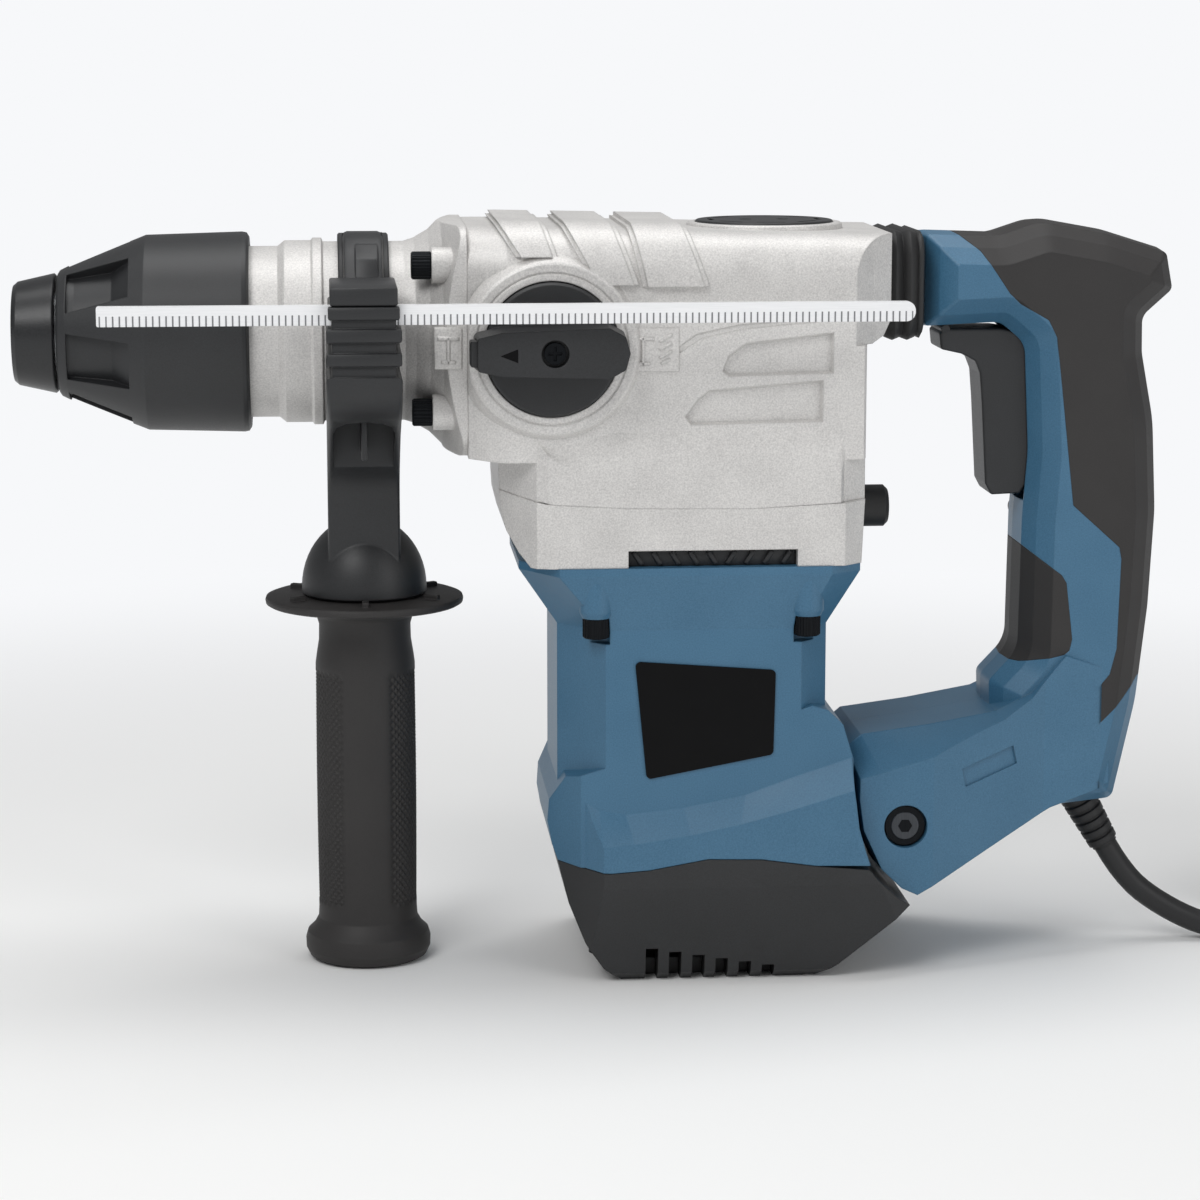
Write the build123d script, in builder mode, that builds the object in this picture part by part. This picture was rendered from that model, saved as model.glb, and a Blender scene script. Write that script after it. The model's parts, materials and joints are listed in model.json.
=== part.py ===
from build123d import *
import math
import os

# A rotary hammer. The origin is the middle of the tool bore's mouth. +X runs to the rear,
# +Z is up, and -Y is the side with the mode knob. All sizes are in millimetres.

# Outer envelope
floor_z = -208.5
gearbox_top_front = 35.2
gearbox_top_rear = 32.4
gearbox_front_x = 139.8
gearbox_rear_x = 266.3
neck_rear_x = 275.3
body_half_width = 43.0
lower_half_width = 45.0

# Chuck and barrel
tool_bore_radius = 5.03
holder_radius = 15.0
spindle_radius = 18.0
barrel_radius = 27.5
collar_radius = 28.9
bearing_outer_radius = 24.0

# Hammer mechanism
cylinder_radius = 17.0
piston_radius = 14.0
running_clearance = 0.05
crank_radius = 10.0
rod_length = 52.0

# Gear train
gear_module = 1.25
pressure_angle = math.radians(25)
pinion_teeth = 9
crank_gear_teeth = 33
middle_gear_teeth = 30
bevel_pinion_teeth = 10
bevel_ring_teeth = 26
bevel_module = 2.0
gear_bottom_z = -44.0
gear_height = 8.0
motor_x = 212.0
crank_x = motor_x + gear_module * (pinion_teeth + crank_gear_teeth) / 2
middle_x = motor_x - gear_module * (pinion_teeth + middle_gear_teeth) / 2

# Motor
motor_shaft_radius = 5.0
stator_radius = 35.0
fan_radius = 36.0

# Mode knob
knob_x = 165.8
knob_z = -2.1
knob_ring_radius = 27.2
knob_disc_radius = 21.0

# Side handle
side_handle_x = 107.0
depth_rod_y = -67.0
depth_rod_z = 11.0

# Rear handle
pivot_x = 281.0
pivot_z = -159.0
pivot_radius = 4.0
trigger_pivot_x = 296.6
handle_half_width = 22.0
arm_ridge_half_width = 22.0
skin = 3.0

# Power cord
cord_radius = 4.0
coil_x = 462.0
coil_y = 42.0
coil_outer_radius = 60.0
coil_inner_radius = 26.6
last_turn_radius = 53.33

os.makedirs("parts", exist_ok=True)


def save(piece, name):
    """Label a finished piece and write it as its own file."""
    piece.part.label = name
    export_step(piece.part, f"parts/{name}.step")


def side_slab(outline, half_width, corner=0.0):
    """A plate with an outline seen from the side, centred on the middle plane."""
    with BuildPart() as slab:
        with BuildSketch(Plane.XZ):
            with BuildLine():
                if corner:
                    FilletPolyline(*outline, radius=corner, close=True)
                else:
                    Polyline(*outline, close=True)
            make_face()
        extrude(amount=half_width, both=True)
    return slab.part


def side_boss(outline, base_y, top_y, corner=0.0, taper=0.0):
    """A plate on the knob side (-Y), from base_y out to top_y, with an outline seen from the side."""
    with BuildPart() as boss:
        with BuildSketch(Plane.XZ.offset(-base_y)):
            with BuildLine():
                if corner:
                    FilletPolyline(*outline, radius=corner, close=True)
                else:
                    Polyline(*outline, close=True)
            make_face()
        extrude(amount=base_y - top_y, taper=taper)
    return boss.part


def both_side_facets(base_outline, crest_outline, base_y, crest_y):
    """Raised panels on both sides: base_outline at base_y narrows to crest_outline at crest_y."""
    with BuildPart() as facets:
        for sign in (1, -1):
            with BuildSketch(Plane.XZ.offset(sign * base_y)):
                with BuildLine():
                    Polyline(*base_outline, close=True)
                make_face()
            with BuildSketch(Plane.XZ.offset(sign * crest_y)):
                with BuildLine():
                    Polyline(*crest_outline, close=True)
                make_face()
            loft(ruled=True)
    return facets.part


def plan_prism(outline, low_z, high_z, corner=0.0):
    """A prism with an outline seen from above, mirrored about the middle plane."""
    mirrored = [(x, -y) for x, y in reversed(outline)]
    with BuildPart() as prism:
        with BuildSketch(Plane.XY.offset(low_z)):
            with BuildLine():
                if corner:
                    FilletPolyline(*outline, *mirrored, radius=corner, close=True)
                else:
                    Polyline(*outline, *mirrored, close=True)
            make_face()
        extrude(amount=high_z - low_z)
    return prism.part


def turned_on_x(outline, centre_y=0.0, centre_z=0.0):
    """A body turned on an axis along X. The outline lists (x, radius) points."""
    with BuildPart() as turned:
        with BuildSketch(Plane.XZ.offset(-centre_y)):
            with BuildLine():
                Polyline(*[(x, centre_z + r) for x, r in outline], close=True)
            make_face()
        revolve(axis=Axis((0, centre_y, centre_z), (1, 0, 0)))
    return turned.part


def turned_on_z(outline, centre_x, centre_y=0.0):
    """A body turned on a vertical axis. The outline lists (radius, z) points."""
    with BuildPart() as turned:
        with BuildSketch(Plane.XZ.offset(-centre_y)):
            with BuildLine():
                Polyline(*[(centre_x + r, z) for r, z in outline], close=True)
            make_face()
        revolve(axis=Axis((centre_x, centre_y, 0), (0, 0, 1)))
    return turned.part


def turned_on_y(outline, centre_x, centre_z):
    """A body turned on an axis along Y. The outline lists (y, radius) points."""
    with BuildPart() as turned:
        with BuildSketch(Plane.XY.offset(centre_z)):
            with BuildLine():
                Polyline(*[(centre_x + r, y) for y, r in outline], close=True)
            make_face()
        revolve(axis=Axis((centre_x, 0, centre_z), (0, 1, 0)))
    return turned.part


def disc_x(radius, x0, x1, y=0.0, z=0.0):
    return turned_on_x([(x0, 0), (x0, radius), (x1, radius), (x1, 0)], y, z)


def disc_y(radius, y0, y1, x, z):
    return turned_on_y([(y0, 0), (y0, radius), (y1, radius), (y1, 0)], x, z)


def disc_z(radius, z0, z1, x, y=0.0):
    return turned_on_z([(0, z0), (radius, z0), (radius, z1), (0, z1)], x, y)


def block(low, high):
    """A box between two opposite corners."""
    with BuildPart() as box:
        middle = [(a + b) / 2 for a, b in zip(low, high)]
        with Locations(tuple(middle)):
            Box(high[0] - low[0], high[1] - low[1], high[2] - low[2])
    return box.part


# ---- Gear teeth


def involute_tooth(teeth, module, backlash=0.10):
    """The outline of one tooth that points along +X, from below the root to the tip."""
    pitch_radius = module * teeth / 2
    base_radius = pitch_radius * math.cos(pressure_angle)
    tip_radius = pitch_radius + 0.8 * module
    root_radius = pitch_radius - 1.05 * module
    pitch_involute = math.tan(pressure_angle) - pressure_angle
    half_angle = math.pi / (2 * teeth) - backlash / (2 * pitch_radius)
    flank = []
    steps = 6
    first_radius = max(base_radius, root_radius)
    for step in range(steps + 1):
        radius = first_radius + (tip_radius - first_radius) * step / steps
        roll = math.sqrt(max((radius / base_radius) ** 2 - 1, 0))
        angle = half_angle + pitch_involute - (roll - math.atan(roll))
        flank.append((radius, angle))
    flank.insert(0, (root_radius - 0.4, flank[0][1]))
    upper = [(r * math.cos(a), r * math.sin(a)) for r, a in flank]
    lower = [(x, -y) for x, y in reversed(upper)]
    return upper + lower


def spur_gear(teeth, low_z, high_z, centre_x):
    """A straight toothed gear on a vertical axis, with one tooth towards +X."""
    root_radius = gear_module * teeth / 2 - 1.05 * gear_module
    tooth = involute_tooth(teeth, gear_module)
    with BuildPart() as gear:
        with BuildSketch(Plane.XY.offset(low_z)):
            with Locations((centre_x, 0)):
                Circle(root_radius)
            with Locations((centre_x, 0)):
                with PolarLocations(0, teeth):
                    Polygon(*tooth, align=None)
        extrude(amount=high_z - low_z)
    return gear.part


def bevel_tooth(pitch_radius, other_radius, apex, axis, outward):
    """One straight bevel tooth. It points along outward from an axis that starts at the apex."""
    length = math.hypot(pitch_radius, other_radius)
    pitch_line = (axis * other_radius + outward * pitch_radius) / length
    across = axis.cross(outward)
    with BuildPart() as tooth:
        for share in (1.0, 0.72):
            size = bevel_module * share
            origin = apex + pitch_line * (length * share)
            plane = Plane(origin=origin, x_dir=across, z_dir=pitch_line)
            sign = 1 if plane.y_dir.dot(outward) > 0 else -1
            corners = [(-0.8, -1.45), (-0.56, 0), (-0.24, 0.7), (0.24, 0.7), (0.56, 0), (0.8, -1.45)]
            with BuildSketch(plane):
                with BuildLine():
                    Polyline(*[(a * size, sign * b * size) for a, b in corners], close=True)
                make_face()
        loft(ruled=True)
    return tooth.part


# ---- Chuck: everything that turns with the tool


def make_tool_holder():
    body = turned_on_x([
        (0, 0), (0, 12), (9.7, 12), (9.7, holder_radius), (52, holder_radius), (52, 20), (57, 20),
        (60, spindle_radius), (92, spindle_radius), (92, 0),
    ])
    bore = disc_x(tool_bore_radius, -1, 31)
    key_chamber = disc_x(tool_bore_radius + 0.4, 30.9, 54)
    mouth = turned_on_x([(-1, 0), (-1, 6.6), (0.0, 5.6), (0.6, tool_bore_radius), (0.6, 0)])
    anvil_chamber = disc_x(9.05, 54, 93)
    with BuildPart() as tool_holder:
        add(body)
        add(bore, mode=Mode.SUBTRACT)
        add(key_chamber, mode=Mode.SUBTRACT)
        add(mouth, mode=Mode.SUBTRACT)
        add(anvil_chamber, mode=Mode.SUBTRACT)
        for sign in (1, -1):
            # A closed pocket for each locking ball, and a drive key deep in the bore
            with Locations((22, 0, sign * 10.2)):
                Box(9, 7, 7.0, mode=Mode.SUBTRACT)
            with Locations((42, sign * 4.8, 0)):
                Box(20, 1.9, 2.2)
    save(tool_holder, "tool_holder")


def make_locking_balls():
    with BuildPart() as locking_balls:
        for sign in (1, -1):
            with Locations((22, 0, sign * 10.2)):
                Sphere(3.2)
    save(locking_balls, "locking_balls")


def make_dust_cap():
    profile = turned_on_x([
        (-4.0, 5.6), (-4.0, 15.4), (-2.6, 16.6), (9.0, 19.2), (9.6, 18.6), (9.6, 12), (0, 12), (0, 5.6),
    ])
    mouth = turned_on_x([(-5, 0), (-5, 12.6), (-4.0, 12.0), (-2.2, 6.6), (-1.6, 5.6), (-1.6, 0)])
    with BuildPart() as dust_cap:
        add(profile)
        add(mouth, mode=Mode.SUBTRACT)
    save(dust_cap, "dust_cap")


def make_lock_sleeve():
    profile = turned_on_x([
        (10.3, 19.2), (11.0, 20.2), (13.2, 21.3), (38.5, 31.3), (69.2, 32.2), (70.6, 31.9), (71.4, 30.6),
        (71.4, 28.2), (50, 28.2), (46, 25), (30, 22.5), (30, holder_radius + running_clearance),
        (14, holder_radius + running_clearance), (14, 16.6), (10.3, 16.6),
    ])
    # Finger scoops around the cone: flat floors that end in a steep rear wall
    scoop = turned_on_x([(13.6, 40), (13.6, 19.6), (16, 19.6), (28.0, 22.4), (33.5, 27.2), (33.5, 40)])
    windows = []
    for index in range(6):
        angle = -103 + 60 * index
        window = Pos(23.5, 0, 0) * Rot(angle, 0, 0) * Pos(0, 27, 0) * Box(21, 24, 15.5)
        windows.append(window & scoop)
    with BuildPart() as lock_sleeve:
        add(profile)
        for window in windows:
            add(window, mode=Mode.SUBTRACT)
    save(lock_sleeve, "lock_sleeve")


def coil_spring(radius, wire_radius, pitch, height, origin, direction):
    """A round wire spring between two points on its axis."""
    with BuildPart() as spring:
        with BuildLine() as path:
            Helix(pitch=pitch, height=height, radius=radius, center=origin, direction=direction)
        start = Plane(origin=path.line @ 0, z_dir=path.line % 0)
        with BuildSketch(start):
            Circle(wire_radius)
        sweep(path=path.line, is_frenet=True)
    return spring.part


def make_sleeve_spring():
    spring = coil_spring(17.6, 1.1, 4.4, 18.6, (31.6, 0, 0), (1, 0, 0))
    with BuildPart() as sleeve_spring:
        add(spring)
    save(sleeve_spring, "sleeve_spring")


def make_hammer_cylinder():
    tube = turned_on_x([
        (92, piston_radius + running_clearance), (92, spindle_radius), (97, spindle_radius),
        (99, cylinder_radius), (202, cylinder_radius), (202, piston_radius + running_clearance),
    ])
    with BuildPart() as hammer_cylinder:
        add(tube)
        # Air ports near the rear of the stroke
        with Locations((136, 0, 0)):
            with Locations(Rot(0, 0, 0), Rot(90, 0, 0)):
                Cylinder(2.0, 40, mode=Mode.SUBTRACT)
    save(hammer_cylinder, "hammer_cylinder")


def make_bevel_ring_gear():
    pitch_radius = bevel_module * bevel_ring_teeth / 2
    other_radius = bevel_module * bevel_pinion_teeth / 2
    apex = Vector(middle_x, 0, 0)
    contact_x = middle_x - other_radius
    hub = turned_on_x([
        (contact_x - 7, cylinder_radius), (contact_x - 7, 23), (contact_x - 2.6, pitch_radius - 0.8),
        (contact_x + 0.9, 18.1), (contact_x + 0.9, cylinder_radius),
    ])
    teeth = []
    for index in range(bevel_ring_teeth):
        angle = 2 * math.pi * index / bevel_ring_teeth
        outward = Vector(0, math.cos(angle), math.sin(angle))
        teeth.append(bevel_tooth(pitch_radius, other_radius, apex, Vector(-1, 0, 0), outward))
    with BuildPart() as bevel_ring_gear:
        add(hub)
        add(teeth)
        add(disc_x(cylinder_radius, contact_x - 20, contact_x + 20), mode=Mode.SUBTRACT)
    save(bevel_ring_gear, "bevel_ring_gear")


# ---- Striking parts


def make_striking_parts():
    piston_front = crank_x - crank_radius - rod_length - 14
    with BuildPart() as piston:
        add(disc_x(piston_radius, piston_front, piston_front + 26))
        # A slot for the rod's small end and a hole for its pin
        with Locations((piston_front + 17, 0, 0)):
            Box(20, 10.6, 22, mode=Mode.SUBTRACT)
        with Locations((piston_front + 14, 0, 0)):
            Cylinder(4.0, 40, rotation=(90, 0, 0), mode=Mode.SUBTRACT)
    save(piston, "piston")
    pin_x = piston_front + 14
    with BuildPart() as wrist_pin:
        add(disc_y(4.0, -12.5, 12.5, pin_x, 0))
    save(wrist_pin, "wrist_pin")
    crank_pin_x = pin_x + rod_length
    small_end = disc_y(7.0, -5.2, 5.2, pin_x, 0)
    big_end = disc_z(10.5, -6.5, 6.5, crank_pin_x)
    with BuildPart() as connecting_rod:
        with Locations(((pin_x + crank_pin_x) / 2, 0, 0)):
            Box(rod_length, 9, 8)
        add(small_end)
        add(big_end)
        add(disc_y(4.0, -20, 20, pin_x, 0), mode=Mode.SUBTRACT)
        add(disc_z(5.0, -20, 20, crank_pin_x), mode=Mode.SUBTRACT)
    save(connecting_rod, "connecting_rod")
    with BuildPart() as crank_pin:
        add(disc_z(5.0, -7.7, 7.5, crank_pin_x))
    save(crank_pin, "crank_pin")
    with BuildPart() as striker:
        add(turned_on_x([
            (100, 0), (100, 8), (108, 8), (110, piston_radius), (130, piston_radius), (130, 0),
        ]))
        for groove_x in (115, 125):
            add(turned_on_x([
                (groove_x - 1.5, 12.6), (groove_x - 1.5, 15), (groove_x + 1.5, 15), (groove_x + 1.5, 12.6),
            ]), mode=Mode.SUBTRACT)
    save(striker, "striker")
    with BuildPart() as striker_seals:
        for groove_x in (115, 125):
            add(turned_on_x([
                (groove_x - 1.4, 12.6), (groove_x - 1.4, 14), (groove_x + 1.4, 14), (groove_x + 1.4, 12.6),
            ]))
    save(striker_seals, "striker_seals")
    with BuildPart() as beat_piece:
        add(turned_on_x([
            (57, 0), (57, 5.5), (66, 5.5), (68, 9.0), (80, 9.0), (82, 6.5), (91, 6.5), (91, 0),
        ]))
    save(beat_piece, "beat_piece")


# ---- Motor and gears


def make_armature():
    pinion = spur_gear(pinion_teeth, gear_bottom_z - 1, gear_bottom_z + gear_height + 1, motor_x)
    with BuildPart() as armature_shaft:
        add(pinion)
        add(turned_on_z([
            (0, gear_bottom_z - 1), (4.0, gear_bottom_z - 1), (4.9, -46.5), (motor_shaft_radius, -47),
            (motor_shaft_radius, -171), (0, -171),
        ], motor_x))
    save(armature_shaft, "armature_shaft")
    with BuildPart() as armature_core:
        add(disc_z(24, -138, -82, motor_x))
        add(disc_z(motor_shaft_radius, -139, -81, motor_x), mode=Mode.SUBTRACT)
        # Winding slots along the laminations
        with Locations((motor_x, 0, -110)):
            with PolarLocations(22.6, 12):
                Box(5, 2.2, 60, mode=Mode.SUBTRACT)
    save(armature_core, "armature_core")
    with BuildPart() as commutator:
        add(disc_z(13, -159, -143, motor_x))
        add(disc_z(motor_shaft_radius, -160, -142, motor_x), mode=Mode.SUBTRACT)
        with Locations((motor_x, 0, -151)):
            with PolarLocations(13, 24):
                Box(1.6, 0.6, 20, mode=Mode.SUBTRACT)
    save(commutator, "commutator")
    with BuildPart() as cooling_fan:
        add(disc_z(fan_radius, -71.5, -70, motor_x))
        add(disc_z(12, -70, -60, motor_x))
        with Locations((motor_x, 0, -65)):
            with PolarLocations(23.5, 18):
                with Locations(Rot(0, 0, 28)):
                    Box(22, 1.6, 10)
        add(disc_z(motor_shaft_radius, -75, -55, motor_x), mode=Mode.SUBTRACT)
    save(cooling_fan, "cooling_fan")


def make_crank_gear():
    gear = spur_gear(crank_gear_teeth, gear_bottom_z, gear_bottom_z + gear_height, crank_x)
    with BuildPart() as crank_gear:
        add(gear)
        add(disc_z(5.0, -54, -12, crank_x))
        add(disc_z(9.0, gear_bottom_z + gear_height, -16, crank_x))
        add(disc_z(17.0, -16, -8, crank_x))
        with Locations((crank_x - crank_radius, 0, -8)):
            Cylinder(5.1, 8, mode=Mode.SUBTRACT)
    save(crank_gear, "crank_gear")


def make_middle_gear():
    spur = spur_gear(middle_gear_teeth, gear_bottom_z, gear_bottom_z + gear_height, middle_x)
    pitch_radius = bevel_module * bevel_pinion_teeth / 2
    ring_radius = bevel_module * bevel_ring_teeth / 2
    apex = Vector(middle_x, 0, 0)
    teeth = []
    for index in range(bevel_pinion_teeth):
        angle = 2 * math.pi * index / bevel_pinion_teeth
        outward = Vector(math.cos(angle), math.sin(angle), 0)
        teeth.append(bevel_tooth(pitch_radius, ring_radius, apex, Vector(0, 0, -1), outward))
    core = turned_on_z([
        (0, gear_bottom_z + gear_height), (8.5, gear_bottom_z + gear_height), (8.0, -29), (7.7, -27),
        (5.4, -19.4), (0, -19.4),
    ], middle_x)
    with BuildPart() as middle_gear:
        add(spur)
        add(core)
        add(teeth)
        add(disc_z(5.0, -54, gear_bottom_z, middle_x))
    save(middle_gear, "middle_gear")


def make_motor_fixed_parts():
    with BuildPart() as stator_core:
        add(disc_z(stator_radius, -140, -80, motor_x))
        add(disc_z(25, -141, -79, motor_x), mode=Mode.SUBTRACT)
        for sign in (1, -1):
            with Locations((motor_x, sign * 26, -110)):
                Box(34, 8, 62, mode=Mode.SUBTRACT)
    save(stator_core, "stator_core")
    with BuildPart() as field_coils:
        for sign in (1, -1):
            with Locations((motor_x, sign * 27.6, -110)):
                Box(32, 4.4, 66)
            with Locations((motor_x, sign * 27.6, -110)):
                Box(14, 10, 40, mode=Mode.SUBTRACT)
    save(field_coils, "field_coils")
    with BuildPart() as brush_holders:
        for sign in (1, -1):
            with Locations((motor_x, sign * 24, -151)):
                Box(11, 18, 13)
            with Locations((motor_x, sign * 24, -151)):
                Box(6.4, 22, 9, mode=Mode.SUBTRACT)
    save(brush_holders, "brush_holders")
    with BuildPart() as carbon_brushes:
        for sign in (1, -1):
            with Locations((motor_x, sign * 22, -151)):
                Box(6.4, 17.2, 9)
    save(carbon_brushes, "carbon_brushes")
    with BuildPart() as motor_bearings:
        for low, high in ((-57, -49), (-171, -163)):
            ring = disc_z(13, low, high, motor_x)
            hole = disc_z(motor_shaft_radius + 0.03, low - 1, high + 1, motor_x)
            add(ring)
            add(hole, mode=Mode.SUBTRACT)
    save(motor_bearings, "motor_bearings")
    with BuildPart() as spindle_bearings:
        for low, high, inner in ((70, 84, spindle_radius), (128, gearbox_front_x, cylinder_radius)):
            add(turned_on_x([
                (low, inner + 0.03), (low, bearing_outer_radius), (high, bearing_outer_radius),
                (high, inner + 0.03),
            ]))
    save(spindle_bearings, "spindle_bearings")


# ---- Metal housings


screw_places = [(sy * 30, sz * 23.2) for sy in (1, -1) for sz in (1, -1)]


def make_front_housing():
    barrel = turned_on_x([
        (62, bearing_outer_radius), (62, 26.6), (63, barrel_radius), (80.4, barrel_radius), (82.6, 29.3),
        (91.0, 29.3), (91.6, 30.1), (94.4, 30.1), (94.9, collar_radius), (120.6, collar_radius),
        (124, 30.0), (128.5, 32.6), (132.5, 36.6), (137, 47), (gearbox_front_x, 52),
        (gearbox_front_x, bearing_outer_radius),
    ])
    limit = block((50, -38, -37.2), (gearbox_front_x, 38, 35.6))
    with BuildPart() as trimmed:
        add(limit)
        long_edges = trimmed.edges().filter_by(Axis.X)
        fillet(long_edges, 9)
    shape = barrel & trimmed.part
    with BuildPart() as front_housing:
        add(shape)
        for y, z in screw_places:
            add(disc_x(5.7, 128.8, gearbox_front_x, y, z))
        for y, z in screw_places:
            add(disc_x(2.6, 120, 145, y, z), mode=Mode.SUBTRACT)
        add(disc_x(bearing_outer_radius, 55, 150), mode=Mode.SUBTRACT)
    save(front_housing, "front_housing")


def make_front_screws():
    with BuildPart() as front_screws:
        for y, z in screw_places:
            add(disc_x(4.2, 122.6, 128.8, y, z))
            add(disc_x(2.6, 128.8, 150, y, z))
        heads = [Location((122.6, y, z)) for y, z in screw_places]
        with Locations(*heads):
            Cylinder(2.1, 5, rotation=(0, 90, 0), mode=Mode.SUBTRACT)
    save(front_screws, "front_screws")


def gearbox_section(grow=0.0):
    """The smooth upper body of the gearbox, or the same body grown outwards for its ribs."""
    stations = [
        (gearbox_front_x, 38.0, gearbox_top_front), (152.0, body_half_width, 34.9),
        (neck_rear_x + 1, body_half_width, gearbox_top_rear),
    ]
    with BuildPart() as section:
        for x, half_width, top in stations:
            with BuildSketch(Plane.YZ.offset(x)) as face:
                with BuildLine():
                    Polyline(
                        (-half_width - grow, -60), (half_width + grow, -60),
                        (half_width + grow, top + grow), (-half_width - grow, top + grow), close=True,
                    )
                make_face()
                fillet(face.vertices().group_by(Axis.Y)[-1], 14 + grow)
        loft(ruled=True)
    return section.part


gear_pocket_plan = [(154.5, -24), (164.0, -38), (258, -38), (262.4, -34.5)]


def make_gearbox_housing():
    upper_outline = [
        (gearbox_front_x, 40), (280, 40), (neck_rear_x, 31.5), (neck_rear_x, 5), (272.6, 0.2),
        (268.6, -1.8), (gearbox_rear_x, -6), (gearbox_rear_x, -38.2), (149.4, -38.2),
        (gearbox_front_x, -37.2),
    ]
    upper = gearbox_section() & side_slab(upper_outline, 60)
    neck_plan = plan_prism(
        [(130, -60), (250, -60), (262, -43), (neck_rear_x - 7, -36), (neck_rear_x, -29)], -2, 45)
    below_neck = plan_prism([(130, -60), (gearbox_rear_x - 6, -60), (gearbox_rear_x, -38)], -60, -2)
    plans = neck_plan + below_neck
    upper = upper & plans
    lower_outline = [
        (149.4, -30), (gearbox_rear_x, -30), (gearbox_rear_x, -51.3), (229, -53.2), (189, -52.7),
        (163.7, -51.1), (149.9, -48.4),
    ]
    lower_plan = plan_prism([(149.4, -27), (161, -43.0), (259, -43.0), (gearbox_rear_x, -37)], -60, -28)
    lower = side_slab(lower_outline, 60) & lower_plan
    # The lower walls step outwards below a sloped ledge
    ledge = both_side_facets(
        [(161.2, -31.5), (163.5, -32.8), (166, -33.2), (169.5, -32.8), (175, -31.4), (180, -29.8),
         (185, -28.5), (254, -28.4), (258.6, -31.0), (258.8, -36), (258.8, -51.5), (229, -53.2),
         (189, -52.7), (163.7, -51.1), (161.2, -50.3)],
        [(164.5, -35.6), (165.8, -36.7), (168.9, -38.4), (173, -39.6), (179, -39.4), (184.7, -38.0),
         (190.4, -36.1), (252, -36.0), (256, -38.4), (257.5, -42.4), (257.5, -51.6), (229, -53.2),
         (189, -52.7), (166.0, -51.3), (164.5, -50.8)],
        42.9, lower_half_width)
    ribs = []
    rib_outlines = [
        [(147.6, 40), (161.6, 40), (166.2, 26.4), (156.4, 26.4)],
        [(168.6, 40), (183.6, 40), (191.6, 17.6), (180.6, 17.6)],
        [(190.6, 40), (205.8, 40), (213.8, 17.0), (196.0, 17.0)],
    ]
    crests = gearbox_section(2.3)
    feet = gearbox_section(1.1)
    for outline in rib_outlines:
        ribs.append(crests & side_slab(outline, 60))
        wider = [(x + (1.6 if index in (1, 2) else -1.6), z) for index, (x, z) in enumerate(outline)]
        ribs.append(feet & side_slab(wider, 60))
    ring = turned_on_y([
        (-40, 0), (-40, knob_ring_radius + 2.5), (-43, knob_ring_radius + 1.4), (-45.4, knob_ring_radius),
        (-46, knob_ring_radius - 0.8), (-46, 24.2), (-45.5, 23.7), (-46, 23.2), (-46, 0),
    ], knob_x, knob_z) & block((gearbox_front_x, -60, -60), (300, 60, 60))
    plate_front = side_boss([(146.5, -9.4), (158, -9.4), (158, 6.4), (146.5, 6.4)], -41, -43.6)
    boss_top = turned_on_z([(0, 25), (26.5, 25), (25.2, 34.2), (24.6, 34.7), (0, 34.7)], 238)
    pocket_upper = side_boss(
        [(220.5, -9.4), (222.2, -5.2), (227.6, -1.6), (254.2, 1.4), (254.2, -9.9), (222, -10.6)],
        -40.8, -44.5, taper=-20)
    pocket_lower = side_boss(
        [(208.8, -24.0), (212.4, -19.1), (215.9, -16.4), (251.0, -13.6), (251.0, -25.2), (210.2, -25.9)],
        -40.8, -44.5, taper=-20)
    relief = both_side_facets(
        [(206.5, -3.6), (212.8, 0.6), (226, 3.6), (252, 6.0), (252, 7.0), (225, 4.8), (211.6, 1.9),
         (205.4, -2.4)],
        [(206.0, -3.9), (212.4, 0.2), (225.8, 3.2), (252.6, 5.7), (252.6, 7.4), (224.8, 5.1), (211.2, 2.3),
         (204.8, -2.2)],
        42.4, 43.4)
    cavity = block((144, -37, -34), (262.4, 37, 28.5))
    with BuildPart() as gearbox_housing:
        add(upper)
        add(lower)
        add(ledge)
        add(ribs)
        add(boss_top)
        add(plate_front)
        add(ring)
        add(disc_y(knob_disc_radius + 0.4, -60, -41, knob_x, knob_z), mode=Mode.SUBTRACT)
        add(pocket_upper, mode=Mode.SUBTRACT)
        add(pocket_lower, mode=Mode.SUBTRACT)
        add(relief, mode=Mode.SUBTRACT)
        add(cavity, mode=Mode.SUBTRACT)
        add(disc_x(bearing_outer_radius, 130, 150), mode=Mode.SUBTRACT)
        add(plan_prism(gear_pocket_plan, -60, -33), mode=Mode.SUBTRACT)
        for y, z in screw_places:
            add(disc_x(2.6, 135, 150, y, z), mode=Mode.SUBTRACT)
        add(disc_z(22.6, 32.4, 40, 238), mode=Mode.SUBTRACT)
        add(disc_y(5.05, -50, -30, knob_x, knob_z), mode=Mode.SUBTRACT)
    save(gearbox_housing, "gearbox_housing")


def make_grease_cap():
    with BuildPart() as grease_cap:
        add(disc_z(22.4, 32.4, 35.4, 238))
        top_edges = grease_cap.faces().sort_by(Axis.Z)[-1].edges()
        fillet(top_edges, 0.8)
        with Locations((238, 0, 35.4)):
            with PolarLocations(17.4, 8):
                Box(1.6, 9, 2.4, mode=Mode.SUBTRACT)
            with PolarLocations(6.0, 2):
                Cylinder(2.0, 4, mode=Mode.SUBTRACT)
    save(grease_cap, "grease_cap")


base_bottom_z = -71.8


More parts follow.
